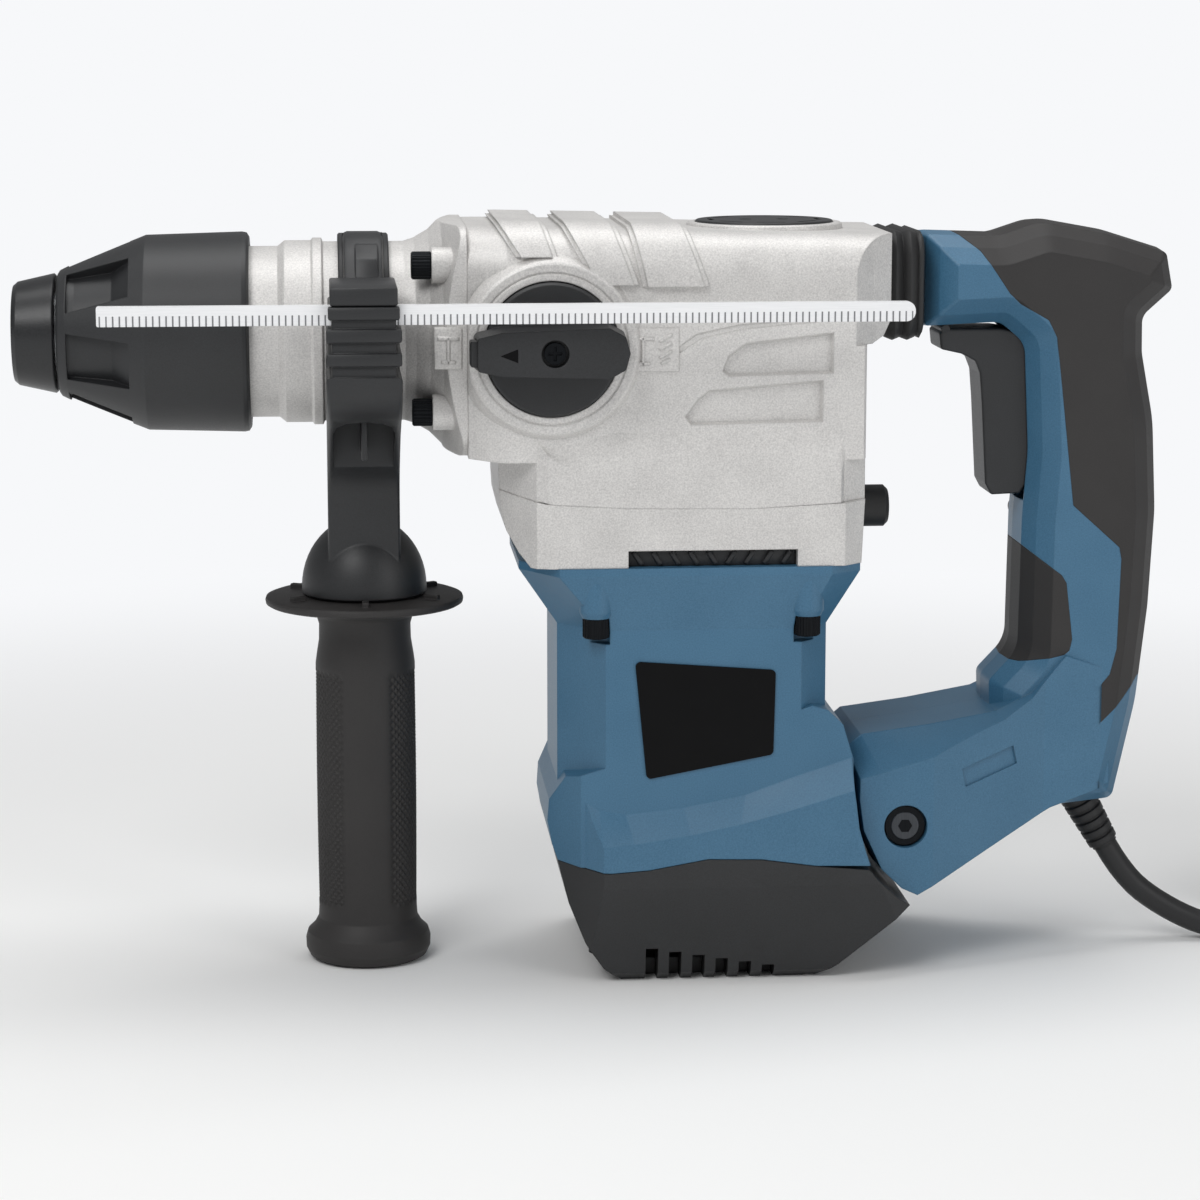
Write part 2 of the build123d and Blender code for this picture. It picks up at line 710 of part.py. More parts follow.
def make_gearbox_base():
    outline = [
        (149.9, -48.4), (163.7, -51.1), (189, -52.7), (229, -53.2), (gearbox_rear_x, -51.3),
        (265.2, base_bottom_z), (159.2, base_bottom_z), (155.6, -67.5), (152.0, -61.2), (150.3, -54.5),
    ]
    plan = plan_prism([(149, -27), (161, -43.6), (166, -lower_half_width), (259, -lower_half_width),
                       (gearbox_rear_x, -38)], -80, -40)
    shape = side_slab(outline, 60) & plan
    with BuildPart() as gearbox_base:
        add(shape)
        # Fan chamber, exhaust slots in both sides, and the gear pocket above
        add(disc_z(38.5, -80, -57.4, motor_x), mode=Mode.SUBTRACT)
        for sign in (1, -1):
            with Locations((216.9, sign * 42, -69.1)):
                Box(54, 16, 5.6, mode=Mode.SUBTRACT)
        add(plan_prism(gear_pocket_plan, -48.8, -40), mode=Mode.SUBTRACT)
        add(disc_z(13, -60, -45, motor_x), mode=Mode.SUBTRACT)
        for x in (crank_x, middle_x):
            add(disc_z(5.05, -55, -45, x), mode=Mode.SUBTRACT)
        for x, y in motor_screw_places:
            add(disc_z(2.5, -74, -60, x, y), mode=Mode.SUBTRACT)
    save(gearbox_base, "gearbox_base")


motor_screw_places = [(x, sign * 39.5) for x in (180.0, 247.8) for sign in (1, -1)]


# ---- Motor housing and bottom cover


rim_plan = [(156.2, -26), (168.0, -45.4), (255, -45.4), (265.0, -38)]
waist_plan = [(168.6, -24), (183.0, -40.5), (246, -40.5), (255.2, -31)]


def plan_loft(low_outline, low_z, high_outline, high_z):
    """A ruled body between two outlines seen from above, each mirrored about the middle plane."""
    with BuildPart() as body:
        for outline, z in ((low_outline, low_z), (high_outline, high_z)):
            mirrored = [(x, -y) for x, y in reversed(outline)]
            with BuildSketch(Plane.XY.offset(z)):
                with BuildLine():
                    Polyline(*outline, *mirrored, close=True)
                make_face()
        loft(ruled=True)
    return body.part


def make_motor_housing():
    rim = plan_prism(rim_plan, -74.4, base_bottom_z)
    flare = plan_loft(waist_plan, -92.6, rim_plan, -74.4)
    waist = plan_prism(waist_plan, -150, -92.6)
    # The belt bulges outwards around the brushes, with a sloped upper facet on each side
    belt_outline = [
        (170.6, -141.0), (165.6, -150.0), (165.1, -157.2), (166.4, -164.5), (168.2, -169.4),
        (184.4, -170.7), (196.7, -169.8), (215.6, -166.5), (232.9, -166.9), (250.5, -169.4),
        (269.4, -171.2), (264.6, -157.6), (263.3, -145.9), (263.3, -135.8), (259.8, -124.3), (255.0, -119.6),
        (250, -118),
    ]
    belt_plan = plan_prism([(160, -18), (164, -26), (175, -40.5), (200, -40.5), (290, -40.5)], -180, -110)
    belt = side_slab(belt_outline, 60) & belt_plan
    wide_plan = plan_prism([(160, -20), (165, -27.5), (182, -46.6), (290, -46.6)], -180, -110)
    facets = both_side_facets(
        [(168.4, -146.8), (174.4, -146.7), (181, -151.1), (189.4, -152.6), (208.4, -150.6),
         (228.4, -146.7), (244.8, -140.8), (262.8, -135.0), (263.3, -145.9), (264.6, -157.6),
         (268.2, -169.8), (250.5, -169.4), (232.9, -166.9), (215.6, -166.5), (196.7, -169.8),
         (184.4, -170.7), (168.2, -169.4)],
        [(166.4, -158.0), (172.0, -159.8), (181.7, -162.3), (192, -161.4), (210.1, -158.7),
         (226, -155.4), (240.0, -151.8), (262.9, -144.9), (263.5, -149.0), (264.6, -157.6),
         (268.2, -169.8), (250.5, -169.4), (232.9, -166.9), (215.6, -166.5), (196.7, -169.8),
         (184.4, -170.7), (168.2, -169.4)],
        40.4, 46.5)
    facets = facets & wide_plan
    tongue_outline = [
        (240, -146), (281, -147), (291, -153), (293, -162), (286, -169.5), (262, -170), (240, -166),
    ]
    tongue = side_slab(tongue_outline, 14)
    stator_bore = disc_z(stator_radius, -142, -70, motor_x)
    with BuildPart() as motor_housing:
        add(rim)
        add(flare)
        add(waist)
        add(belt)
        add(facets)
        add(tongue)
        for x, y in motor_screw_places:
            add(turned_on_z([(0, -73), (5.3, -73), (5.3, -86.6), (4.4, -88.4), (0, -88.4)], x, y))
        add(stator_bore, mode=Mode.SUBTRACT)
        # Fan opening, brush chamber and the lower bearing seat
        add(disc_z(37.6, -73, -70, motor_x), mode=Mode.SUBTRACT)
        add(block((188, -34, -162), (236, 34, -142)), mode=Mode.SUBTRACT)
        add(disc_z(13, -180, -160, motor_x), mode=Mode.SUBTRACT)
        for x, y in motor_screw_places:
            add(disc_z(2.5, -90, -70, x, y), mode=Mode.SUBTRACT)
            add(disc_z(4.5, -97, -88.4, x, y), mode=Mode.SUBTRACT)
        add(disc_y(pivot_radius, -60, 60, pivot_x, pivot_z), mode=Mode.SUBTRACT)
        for x, y in cover_screw_places:
            add(disc_z(2.0, -185, -160, x, y), mode=Mode.SUBTRACT)
    save(motor_housing, "motor_housing")


def make_motor_screws():
    with BuildPart() as motor_screws:
        for x, y in motor_screw_places:
            add(disc_z(2.5, -88.4, -62, x, y))
            add(disc_z(4.1, -94.7, -88.4, x, y))
    save(motor_screws, "motor_screws")


cover_screw_places = [(x, sign * 33.0) for x in (182.0, 250.0) for sign in (1, -1)]


def make_bottom_cover():
    outline = [
        (168.2, -169.6), (171.5, -183.1), (176.4, -195.0), (182.4, -203.8), (188.5, floor_z),
        (251.5, floor_z), (259.0, -204.0), (282.2, -184.4), (277.6, -181.2), (270.6, -174.4),
        (268.0, -171.2), (250.5, -169.6), (232.9, -167.1), (215.6, -166.7), (196.7, -170.0),
        (184.4, -170.9),
    ]
    with BuildPart() as side_limit:
        with BuildSketch(Plane.YZ.offset(150)):
            with BuildLine():
                Polyline((-46.6, -160), (46.6, -160), (46.6, -176), (40.5, floor_z + 3), (36.5, floor_z),
                         (-36.5, floor_z), (-40.5, floor_z + 3), (-46.6, -176), close=True)
            make_face()
        extrude(amount=150)
    plan = plan_prism([(160, -20), (165, -27.5), (182, -46.6), (272, -46.6), (290, -38)], -215, -150)
    shape = side_slab(outline, 60) & side_limit.part & plan
    with BuildPart() as bottom_cover:
        add(shape)
        add(block((186, -33, -203), (246, 33, -160)), mode=Mode.SUBTRACT)
        # Six air slots along each lower edge, open towards the floor
        for index in range(6):
            x = 198.0 + 7.6 * index
            top = -197.0 - 1.3 * index
            for sign in (1, -1):
                with Locations((x, sign * 41, (top - 212) / 2)):
                    Box(4.0, 20, abs(-212 - top), mode=Mode.SUBTRACT)
        for x, y in cover_screw_places:
            add(disc_z(2.0, -200, -160, x, y), mode=Mode.SUBTRACT)
            add(disc_z(4.2, -220, -196, x, y), mode=Mode.SUBTRACT)
        add(block((205, -14, -175), (250, 14, -165)), mode=Mode.SUBTRACT)
        add(block((200, -15, -171.5), (290, 15, -160)), mode=Mode.SUBTRACT)
    save(bottom_cover, "bottom_cover")


def make_cover_screws():
    with BuildPart() as cover_screws:
        for x, y in cover_screw_places:
            add(disc_z(2.0, -196, -174, x, y))
            add(disc_z(3.9, -200, -196, x, y))
    save(cover_screws, "cover_screws")


def make_name_labels():
    outline = [(192.4, -102.6), (237.7, -106.0), (237.1, -133.6), (196.2, -141.2)]
    with BuildPart() as name_labels:
        for sign in (1, -1):
            with BuildSketch(Plane.XZ.offset(sign * 40.5)):
                with BuildLine():
                    FilletPolyline(*outline, radius=1.6, close=True)
                make_face()
            extrude(amount=sign * 0.6)
    save(name_labels, "name_labels")


def make_rear_bumper():
    with BuildPart() as rear_bumper:
        add(turned_on_x([
            (265.8, 0), (265.8, 7.6), (269.5, 7.6), (270.5, 6.9), (278.3, 6.9), (279.6, 5.6), (279.6, 0),
        ], 0, -59))
        add(block((262, -20, -73), (gearbox_rear_x, 20, -45)), mode=Mode.SUBTRACT)
    save(rear_bumper, "rear_bumper")


# ---- Mode knob


def make_mode_knob():
    lever_outline = [
        (-24.6, 4.4), (-24.0, 5.6), (-16.5, 7.4), (17.0, 8.6), (22.4, 5.6), (24.0, 0.0), (22.4, -5.6),
        (17.0, -8.6), (-16.5, -7.6), (-24.0, -6.0), (-24.6, -4.8),
    ]
    placed = [(knob_x + x, knob_z + z) for x, z in lever_outline]
    button_pocket = block((knob_x - 26, -60.0, knob_z - 4.3), (knob_x - 16.4, -52, knob_z + 4.3))
    with BuildPart() as mode_knob:
        add(disc_y(knob_disc_radius, -48, -41.4, knob_x, knob_z))
        rim = mode_knob.edges().filter_by(GeomType.CIRCLE).sort_by(Axis.Y)[0]
        chamfer(rim, 0.8)
        add(side_boss(placed, -47.5, -61.0, corner=1.6, taper=3))
        add(button_pocket, mode=Mode.SUBTRACT)
        add(disc_y(5.0, -42, -36, knob_x, knob_z))
        add(disc_y(4.3, -62, -57.4, knob_x, knob_z), mode=Mode.SUBTRACT)
        add(disc_y(2.0, -62, -37, knob_x, knob_z), mode=Mode.SUBTRACT)
    save(mode_knob, "mode_knob")
    with BuildPart() as knob_screw:
        add(disc_y(3.4, -59.6, -57.4, knob_x, knob_z))
        add(disc_y(2.0, -57.4, -38, knob_x, knob_z))
        with Locations((knob_x, -59.6, knob_z)):
            Box(4.4, 1.6, 0.9, mode=Mode.SUBTRACT)
            Box(0.9, 1.6, 4.4, mode=Mode.SUBTRACT)
    save(knob_screw, "knob_screw")
    with BuildPart() as knob_lock_button:
        add(block((knob_x - 26.2, -59.7, knob_z - 4.0), (knob_x - 19.2, -52.3, knob_z + 4.0)))
        fillet(knob_lock_button.faces().sort_by(Axis.X)[0].edges(), 0.8)
    save(knob_lock_button, "knob_lock_button")


# ---- Side handle


def make_side_handle():
    low_x = side_handle_x - 11.9
    high_x = side_handle_x + 11.9
    grip_radius = collar_radius + running_clearance
    # Yoke under the collar, seen from the front
    with BuildPart() as yoke:
        with BuildSketch(Plane.YZ.offset(low_x)):
            with BuildLine():
                Polyline(
                    (-34.5, 3), (-34.5, -16), (-30, -27), (-14.5, -43), (-13, -50), (-13, -66), (13, -66),
                    (13, -50), (14.5, -43), (30, -27), (34.5, -16), (34.5, 3), close=True)
            make_face()
        extrude(amount=high_x - low_x)
    band = turned_on_x([
        (low_x + 4.6, grip_radius), (low_x + 4.6, 33.2), (high_x - 3.2, 33.2), (high_x - 3.2, grip_radius),
    ])
    lug = block((low_x + 6, -19, 24), (high_x - 4.6, 19, 35.0)) - disc_x(grip_radius, 80, 130)
    # Depth rod holder on the knob side
    holder = side_slab([(low_x, -20.5), (low_x, 17.8), (high_x, 17.8), (high_x, -20.5)], 72.4)
    holder = holder & block((60, -72.4, -30), (140, -31, 30))
    grooves = []
    for index in range(5):
        groove_z = 8.6 - 7.7 * index + 5.4
        grooves.append(block((low_x - 1, -74, groove_z - 1.0), (high_x + 1, -70.9, groove_z + 1.0)))
    arch = side_slab([
        (side_handle_x - 9.2, -20), (side_handle_x - 9.2, -34), (side_handle_x - 5.5, -38.4),
        (side_handle_x + 5.5, -38.4), (side_handle_x + 9.2, -34), (side_handle_x + 9.2, -20),
    ], 60)
    front_arch = arch & block((60, -60, -60), (140, -23.5, -19))
    back_arch = arch & block((60, 23.5, -60), (140, 60, -19))
    dome = turned_on_z([
        (0, -58), (11.5, -58), (13.2, -63), (17.5, -68.2), (20.0, -74.5), (21.0, -79.5), (21.6, -80.2),
        (21.6, -85.8), (0, -85.8),
    ], side_handle_x)
    rod_slot = block(
        (60, depth_rod_y - 1.35, depth_rod_z - 3.25),
        (140, depth_rod_y + 1.35, depth_rod_z + 3.25))
    with BuildPart() as side_handle_bracket:
        add(yoke)
        add(band)
        add(lug)
        add(holder)
        add(dome)
        add(grooves, mode=Mode.SUBTRACT)
        add(front_arch, mode=Mode.SUBTRACT)
        add(back_arch, mode=Mode.SUBTRACT)
        for sign in (1, -1):
            with Locations((side_handle_x, sign * 26, -30)):
                Box(2.2, 7, 22)
        add(disc_x(grip_radius, 80, 130), mode=Mode.SUBTRACT)
        add(rod_slot, mode=Mode.SUBTRACT)
        add(disc_z(4.05, -90, -20, side_handle_x), mode=Mode.SUBTRACT)
    save(side_handle_bracket, "side_handle_bracket")
    with BuildPart() as side_handle_grip:
        add(turned_on_z([
            (0, -86.2), (31.6, -86.2), (32.4, -87.0), (32.4, -88.6), (31.4, -89.4), (17, -90.4), (15.0, -95),
            (15.2, -101), (16.3, -107), (16.5, -150), (16.2, -190), (16.4, -196), (19.2, -199.2),
            (20.8, -201.5), (20.8, -204.4), (19.2, -207.2), (15.5, floor_z), (0, floor_z),
        ], side_handle_x))
        add(disc_z(4.0, -200, -80, side_handle_x), mode=Mode.SUBTRACT)
    save(side_handle_grip, "side_handle_grip")
    with BuildPart() as handle_tie_rod:
        add(disc_z(4.0, -200, -36, side_handle_x))
    save(handle_tie_rod, "handle_tie_rod")
    with BuildPart() as depth_rod:
        add(block(
            (26.4, depth_rod_y - 1.2, depth_rod_z - 3.1),
            (276.4, depth_rod_y + 1.2, depth_rod_z + 3.1)))
        ends = depth_rod.edges().filter_by(Axis.Y)
        fillet(ends.group_by(Axis.X)[-1], 2.9)
        fillet(ends.group_by(Axis.X)[0], 0.6)
        # Fine notches along the lower edge, 2 mm apart
        notches = [(31.4 + 2.0 * index, depth_rod_y - 1.2, depth_rod_z - 1.6) for index in range(121)]
        with Locations(*notches):
            Box(0.5, 0.3, 3.2, mode=Mode.SUBTRACT)
    save(depth_rod, "depth_rod")


# ---- Rear handle


handle_outline = [
    (288.6, 31.8), (313.0, 31.0), (327.0, 35.6), (349.0, 31.6), (369.4, 25.2), (371.8, 12.4),
    (362.0, 3.6), (362.2, -8.0), (366.4, -30.0), (367.9, -60.0), (366.4, -92.0), (363.0, -124.0),
    (355.8, -157.6), (334.0, -160.0), (313.0, -143.0), (312.0, -116.0),
    (321.4, -106.0), (322.0, -62.0), (323.6, -40.0), (321.8, -5.0), (314.0, 1.6), (288.6, 0.4),
]
handle_corners = [
    2.0, 14.0, 16.0, 30.0, 3.0, 3.4, 5.0, 16.0, 60.0, 60.0, 60.0, 60.0,
    4.0, 6.0, 3.0, 4.0, 12.0, 50.0, 50.0, 8.0, 6.0, 2.0,
]
# Rounding of the handle's section: distance from the middle plane, and how far the outline draws in
handle_rounding = [(0.0, 0.0), (11.0, 0.8), (17.0, 4.4), (22.0, 9.6)]


deepest_inset = 10.2


def inset_outline(outline, distance):
    """Move each side of a clockwise outline inwards by a distance and rejoin the sides."""
    moved = []
    count = len(outline)
    for index in range(count):
        corner = Vector(*outline[index])
        before = (corner - Vector(*outline[index - 1])).normalized()
        after = (Vector(*outline[(index + 1) % count]) - corner).normalized()
        normal_before = Vector(before.Y, -before.X)
        normal_after = Vector(after.Y, -after.X)
        share = distance / (1 + normal_before.dot(normal_after))
        place = corner + (normal_before + normal_after) * share
        moved.append((place.X, place.Y))
    return moved


def inset_corners(outline, corners, distance):
    """Corner radii of an inset outline: smaller at outward corners, larger at inward ones."""
    radii = []
    count = len(outline)
    for index in range(count):
        corner = Vector(*outline[index])
        before = corner - Vector(*outline[index - 1])
        after = Vector(*outline[(index + 1) % count]) - corner
        outward = before.cross(after).Z < 0
        radius = corners[index] - distance if outward else corners[index] + distance * 0.3
        radii.append(max(radius, 1.0))
    return radii


def handle_solid(inset=0.0, narrower=0.0):
    """The handle's rounded body, or the same body drawn in all round for its inner shapes."""
    with BuildPart() as body:
        for sign in (1, -1):
            for y, draw_in in handle_rounding:
                distance = min(draw_in + inset, deepest_inset)
                place = sign * y * (1 - narrower / handle_half_width)
                with BuildSketch(Plane.XZ.offset(place)):
                    with BuildLine():
                        FilletPolyline(*inset_outline(handle_outline, distance), close=True,
                                       radius=inset_corners(handle_outline, handle_corners, distance))
                    make_face()
            loft(ruled=True)
    return body.part


arm_top_outline = [
    (263.6, -135.4), (268.4, -131.4), (291, -128.4), (313, -124.4), (325, -118.6), (336, -106),
    (352, -112), (352, -150), (331.5, -157.2), (285.0, -183.6), (279.4, -180.2), (272.8, -173.6),
    (266.6, -160.0), (265.0, -147.9), (264.6, -140.0),
]
arm_crest_outline = [
    (266.4, -144.6), (274, -143.2), (296, -135.8), (317.0, -128.6), (324.0, -123.2), (334.4, -110.0),
    (345, -115), (345, -152), (331.2, -155.0), (285.2, -181.6), (280.0, -179.4), (273.4, -173.0),
    (267.4, -160.0), (266.0, -150.0), (266.2, -147.0),
]


def make_arm():
    narrow_plan = plan_prism([(255, -34), (292, -34), (330, -21), (360, -19)], -200, -90)
    wide_plan = plan_prism([(255, -38.6), (290, -38.6), (329, -24.5), (360, -20.5)], -200, -90)
    core = side_slab(arm_top_outline, arm_ridge_half_width + 0.5) & narrow_plan
    crest = both_side_facets(arm_top_outline, arm_crest_outline, arm_ridge_half_width, 42.0)
    crest = crest & wide_plan
    return core + crest


rubber_region = [
    (298.0, 32.4), (306.0, 25.8), (315.2, 12.3), (318.9, 8.9), (328.0, 3.7), (330.8, -1.8),
    (332.4, -14.4), (337.4, -56.7), (353.0, -70.7), (353.8, -74.6), (353.0, -104.4), (350.9, -112.9),
    (344.5, -120.7), (343.9, -133.5), (362.0, -115.2), (390, -110), (390, 60), (298, 60),
]
insert_region = [
    (310, -69.5), (320.8, -69.5), (334.2, -79.7), (335.8, -82.3), (338.1, -101.0), (337.3, -104.7),
    (335.6, -106.2), (321.9, -109.4), (310, -109.2),
]
handle_screw_places = [(302.0, 18.0), (327.0, -62.0), (318.0, -146.0)]


def make_rear_handle():
    rounded = handle_solid()
    solid = rounded + make_arm()
    rubber = (rounded & side_slab(rubber_region, 60)) - handle_solid(skin, skin)
    insert = (rounded & side_slab(insert_region, 60)) - handle_solid(2.0, 2.0)
    cavity = side_slab([(330, -98), (330, -4), (322, 10), (297, 8), (297, 22), (330, 22), (352, 14),
                        (352, -4), (358.5, -40), (358.5, -70), (352, -98), (349, -146), (332, -146)], 14.5)
    trigger_slot = block((300, -10.5, -56.4), (345, 10.5, 0.8)) + block((293.4, -10.5, -3), (336, 10.5, 4.3))
    spring_bore = disc_x(10.4, 280, 297, 0, 15)
    fork_gap = block((258, -14.6, -200), (296.5, 14.6, -140))
    guard_axis = Vector(*guard_end) - Vector(*guard_start)
    with BuildPart() as guard_bore:
        with BuildSketch(Plane(origin=guard_start, z_dir=guard_axis)):
            Circle(6.3)
        extrude(amount=14, both=True)
    hollows = cavity + trigger_slot + guard_bore.part
    shell = solid - rubber - insert - hollows - spring_bore - fork_gap
    shell = shell - disc_y(pivot_radius + running_clearance, -60, 60, pivot_x, pivot_z)
    shell = shell - disc_y(7.1, -60, -33.5, pivot_x, pivot_z) - disc_y(7.1, 33.5, 60, pivot_x, pivot_z)
    plate = side_slab([(300.0, -141.0), (317.9, -134.9), (319.3, -140.9), (301.3, -147.0)], 60)
    plate_floor = plan_prism([(255, -37.8), (290, -37.8), (329, -23.7), (360, -19.7)], -200, -90)
    shell = shell - (plate - plate_floor)
    for x, z in handle_screw_places:
        shell = shell - disc_y(1.75, -12, 17, x, z) - disc_y(3.6, 14, 60, x, z)
    with BuildPart() as handle_shell_left:
        add(shell & block((200, -80, -250), (400, 0, 100)))
    save(handle_shell_left, "handle_shell_left")
    with BuildPart() as handle_shell_right:
        add(shell & block((200, 0, -250), (400, 80, 100)))
    save(handle_shell_right, "handle_shell_right")
    with BuildPart() as rear_grip:
        add(rubber)
    save(rear_grip, "rear_grip")
    with BuildPart() as front_insert:
        add(insert)
    save(front_insert, "front_insert")


def make_handle_fittings():
    with BuildPart() as handle_screws:
        for x, z in handle_screw_places:
            add(disc_y(1.75, -12, 14, x, z))
            add(disc_y(3.4, 14, 16.4, x, z))
    save(handle_screws, "handle_screws")
    with BuildPart() as pivot_bolts:
        add(disc_y(pivot_radius, -33.5, 33.5, pivot_x, pivot_z))
        for sign in (1, -1):
            add(disc_y(6.5, min(sign * 33.5, sign * 37), max(sign * 33.5, sign * 37), pivot_x, pivot_z))
            with BuildSketch(Plane.XZ.offset(sign * 37)):
                with Locations((pivot_x, pivot_z)):
                    RegularPolygon(3.46, 6)
            extrude(amount=-sign * 3, mode=Mode.SUBTRACT)
    save(pivot_bolts, "pivot_bolts")
    with BuildPart() as switch_module:
        add(block((333, -8, -46), (352, 8, -14)))
        fillet(switch_module.edges().filter_by(Axis.Y), 1.5)
    save(switch_module, "switch_module")


def make_trigger():
    outline = [
        (294.6, -1.2), (295.2, -6.6), (302.4, -8.2), (306.6, -10.6), (308.2, -14.6), (309.0, -24.0),
        (310.6, -50.8), (312.6, -54.6), (322.2, -54.2), (325.4, -50.0), (326.0, -44.0), (325.0, -8.0),
        (321.0, -0.8), (314.6, 0.2), (296.6, 0.2),
    ]
    with BuildPart() as trigger:
        add(side_slab(outline, 10.0, corner=1.2))
        fillet(trigger.edges().filter_by(Plane.XZ), 1.0)
        add(disc_y(1.5, -9.9, 9.9, trigger_pivot_x, 0))
    save(trigger, "trigger")


def make_bellows():
    folds = [(275.5, 19.5), (278.0, 21.6), (280.4, 18.4), (282.8, 21.6), (285.2, 18.4), (287.4, 20.5)]
    with BuildPart() as bellows:
        for x, half_width in folds:
            with BuildSketch(Plane.YZ.offset(x)):
                with Locations((0, 15)):
                    RectangleRounded(2 * half_width, 2 * half_width * 0.76, 6)
        loft(ruled=True)
        add(disc_x(11, 270, 290, 0, 15), mode=Mode.SUBTRACT)
    save(bellows, "bellows")
    spring = coil_spring(8.0, 1.2, 4.6, 18.4, (277.0, 0, 15), (1, 0, 0))
    with BuildPart() as handle_spring:
        add(spring)
    save(handle_spring, "handle_spring")


# ---- Power cord


guard_start = (345.5, 0.0, -157.5)
guard_end = (355.8, 0.0, -175.35)
cord_route = [
    guard_end, (362.6, 0.0, -187.0), (375.5, -1.0, -197.0), (391.5, -3.6, -204.5),
    (412.0, -8.6, -204.5), (436.0, -12.6, -204.5), (462.0, -14.0, -204.5),
]


def make_power_cord():
    runs = []
    for first, second in zip(cord_route[:-1], cord_route[1:]):
        runs.append(math.dist(first, second))
    radii = []
    for index in range(1, len(cord_route) - 1):
        before = Vector(*cord_route[index]) - Vector(*cord_route[index - 1])
        after = Vector(*cord_route[index + 1]) - Vector(*cord_route[index])
        half_turn = math.radians(before.get_angle(after)) / 2
        radii.append(0.45 * min(runs[index - 1], runs[index]) / math.tan(half_turn))
    print("cord runs", [round(run, 1) for run in runs])
    print("cord radii", [round(radius, 1) for radius in radii])
    with BuildPart() as power_cord:
        with BuildLine() as path:
            FilletPolyline(*cord_route, radius=radii)
        with BuildSketch(Plane(origin=path.line @ 0, z_dir=path.line % 0)):
            Circle(cord_radius)
        sweep(path=path.line)
    length = sum(edge.length for edge in path.edges())
    print("cord length", round(length, 1), "volume ratio",
          round(power_cord.part.volume / (math.pi * cord_radius ** 2 * length), 4))
    save(power_cord, "power_cord")
    with BuildPart() as cord_coil:
        add(turned_on_z([
            (coil_inner_radius, floor_z), (coil_outer_radius, floor_z),
            (coil_outer_radius, floor_z + 4 * cord_radius), (coil_inner_radius, floor_z + 4 * cord_radius),
        ], coil_x, coil_y))
    save(cord_coil, "cord_coil")
    axis = Vector(*guard_end) - Vector(*guard_start)
    with BuildPart() as cord_guard:
        with BuildSketch(Plane(origin=guard_start, z_dir=axis)):
            Circle(6.2)
        with BuildSketch(Plane(origin=guard_end, z_dir=axis)):
            Circle(5.0)
        loft()
    save(cord_guard, "cord_guard")
    plug_z = floor_z + 4 * cord_radius - cord_radius
    plug_y = coil_y - last_turn_radius
    with BuildPart() as power_plug:
        add(turned_on_x([
            (482, 0), (482, 5.2), (506, 6.4), (508, 12), (513, 12), (530, 12), (530, 0),
        ], plug_y, plug_z))
    save(power_plug, "power_plug")


def main():
    make_tool_holder()
    make_locking_balls()
    make_dust_cap()
    make_lock_sleeve()
    make_sleeve_spring()
    make_hammer_cylinder()
    make_bevel_ring_gear()
    make_striking_parts()
    make_armature()
    make_crank_gear()
    make_middle_gear()
    make_motor_fixed_parts()
    make_front_housing()
    make_front_screws()
    make_gearbox_housing()
    make_grease_cap()
    make_gearbox_base()
    make_motor_housing()
    make_motor_screws()
    make_bottom_cover()
    make_cover_screws()
    make_name_labels()
    make_rear_bumper()
    make_mode_knob()
    make_side_handle()
    make_rear_handle()
    make_handle_fittings()
    make_trigger()
    make_bellows()
    make_power_cord()


main()
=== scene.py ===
import bmesh
import bpy
import json
import math
from mathutils import Matrix, Vector


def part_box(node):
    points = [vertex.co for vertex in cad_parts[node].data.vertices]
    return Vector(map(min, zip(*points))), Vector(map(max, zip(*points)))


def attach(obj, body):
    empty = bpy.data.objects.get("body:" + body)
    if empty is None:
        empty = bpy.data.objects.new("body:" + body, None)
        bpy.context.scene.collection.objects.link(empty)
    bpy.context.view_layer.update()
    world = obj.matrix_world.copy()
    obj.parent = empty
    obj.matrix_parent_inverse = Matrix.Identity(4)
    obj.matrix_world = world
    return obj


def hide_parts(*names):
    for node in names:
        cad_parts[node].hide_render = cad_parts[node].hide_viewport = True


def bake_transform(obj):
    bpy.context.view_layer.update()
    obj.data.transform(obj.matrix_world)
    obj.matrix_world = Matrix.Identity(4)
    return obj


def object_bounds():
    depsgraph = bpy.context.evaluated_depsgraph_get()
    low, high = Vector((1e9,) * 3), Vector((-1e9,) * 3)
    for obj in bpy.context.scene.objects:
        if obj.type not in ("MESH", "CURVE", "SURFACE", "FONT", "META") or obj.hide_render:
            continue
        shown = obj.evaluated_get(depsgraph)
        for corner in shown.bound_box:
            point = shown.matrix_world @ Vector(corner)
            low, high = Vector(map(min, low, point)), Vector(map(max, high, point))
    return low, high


mm = 0.001
mergeDistance = 0.01 * mm
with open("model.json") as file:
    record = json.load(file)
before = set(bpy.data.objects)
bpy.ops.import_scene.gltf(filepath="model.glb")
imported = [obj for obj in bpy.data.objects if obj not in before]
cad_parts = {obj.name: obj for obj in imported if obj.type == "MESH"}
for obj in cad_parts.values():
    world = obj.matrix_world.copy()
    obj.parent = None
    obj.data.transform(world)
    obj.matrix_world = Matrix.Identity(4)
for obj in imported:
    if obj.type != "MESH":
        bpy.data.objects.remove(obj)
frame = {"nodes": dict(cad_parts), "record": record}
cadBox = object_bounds()
cadNodes = frame["nodes"]
floorHeight = cadBox[0].z


# Helpers

def toLinear(hexColour):
    channels = []
    for start in (0, 2, 4):
        share = int(hexColour[start:start + 2], 16) / 255
        channels.append(share / 12.92 if share <= 0.04045 else ((share + 0.055) / 1.055) ** 2.4)
    return (*channels, 1.0)


def addNode(tree, kind, settings=None, inputs=None):
    node = tree.nodes.new(kind)
    for key, value in (settings or {}).items():
        setattr(node, key, value)
    for key, value in (inputs or {}).items():
        if isinstance(value, bpy.types.NodeSocket):
            tree.links.new(value, node.inputs[key])
        else:
            node.inputs[key].default_value = value
    return node


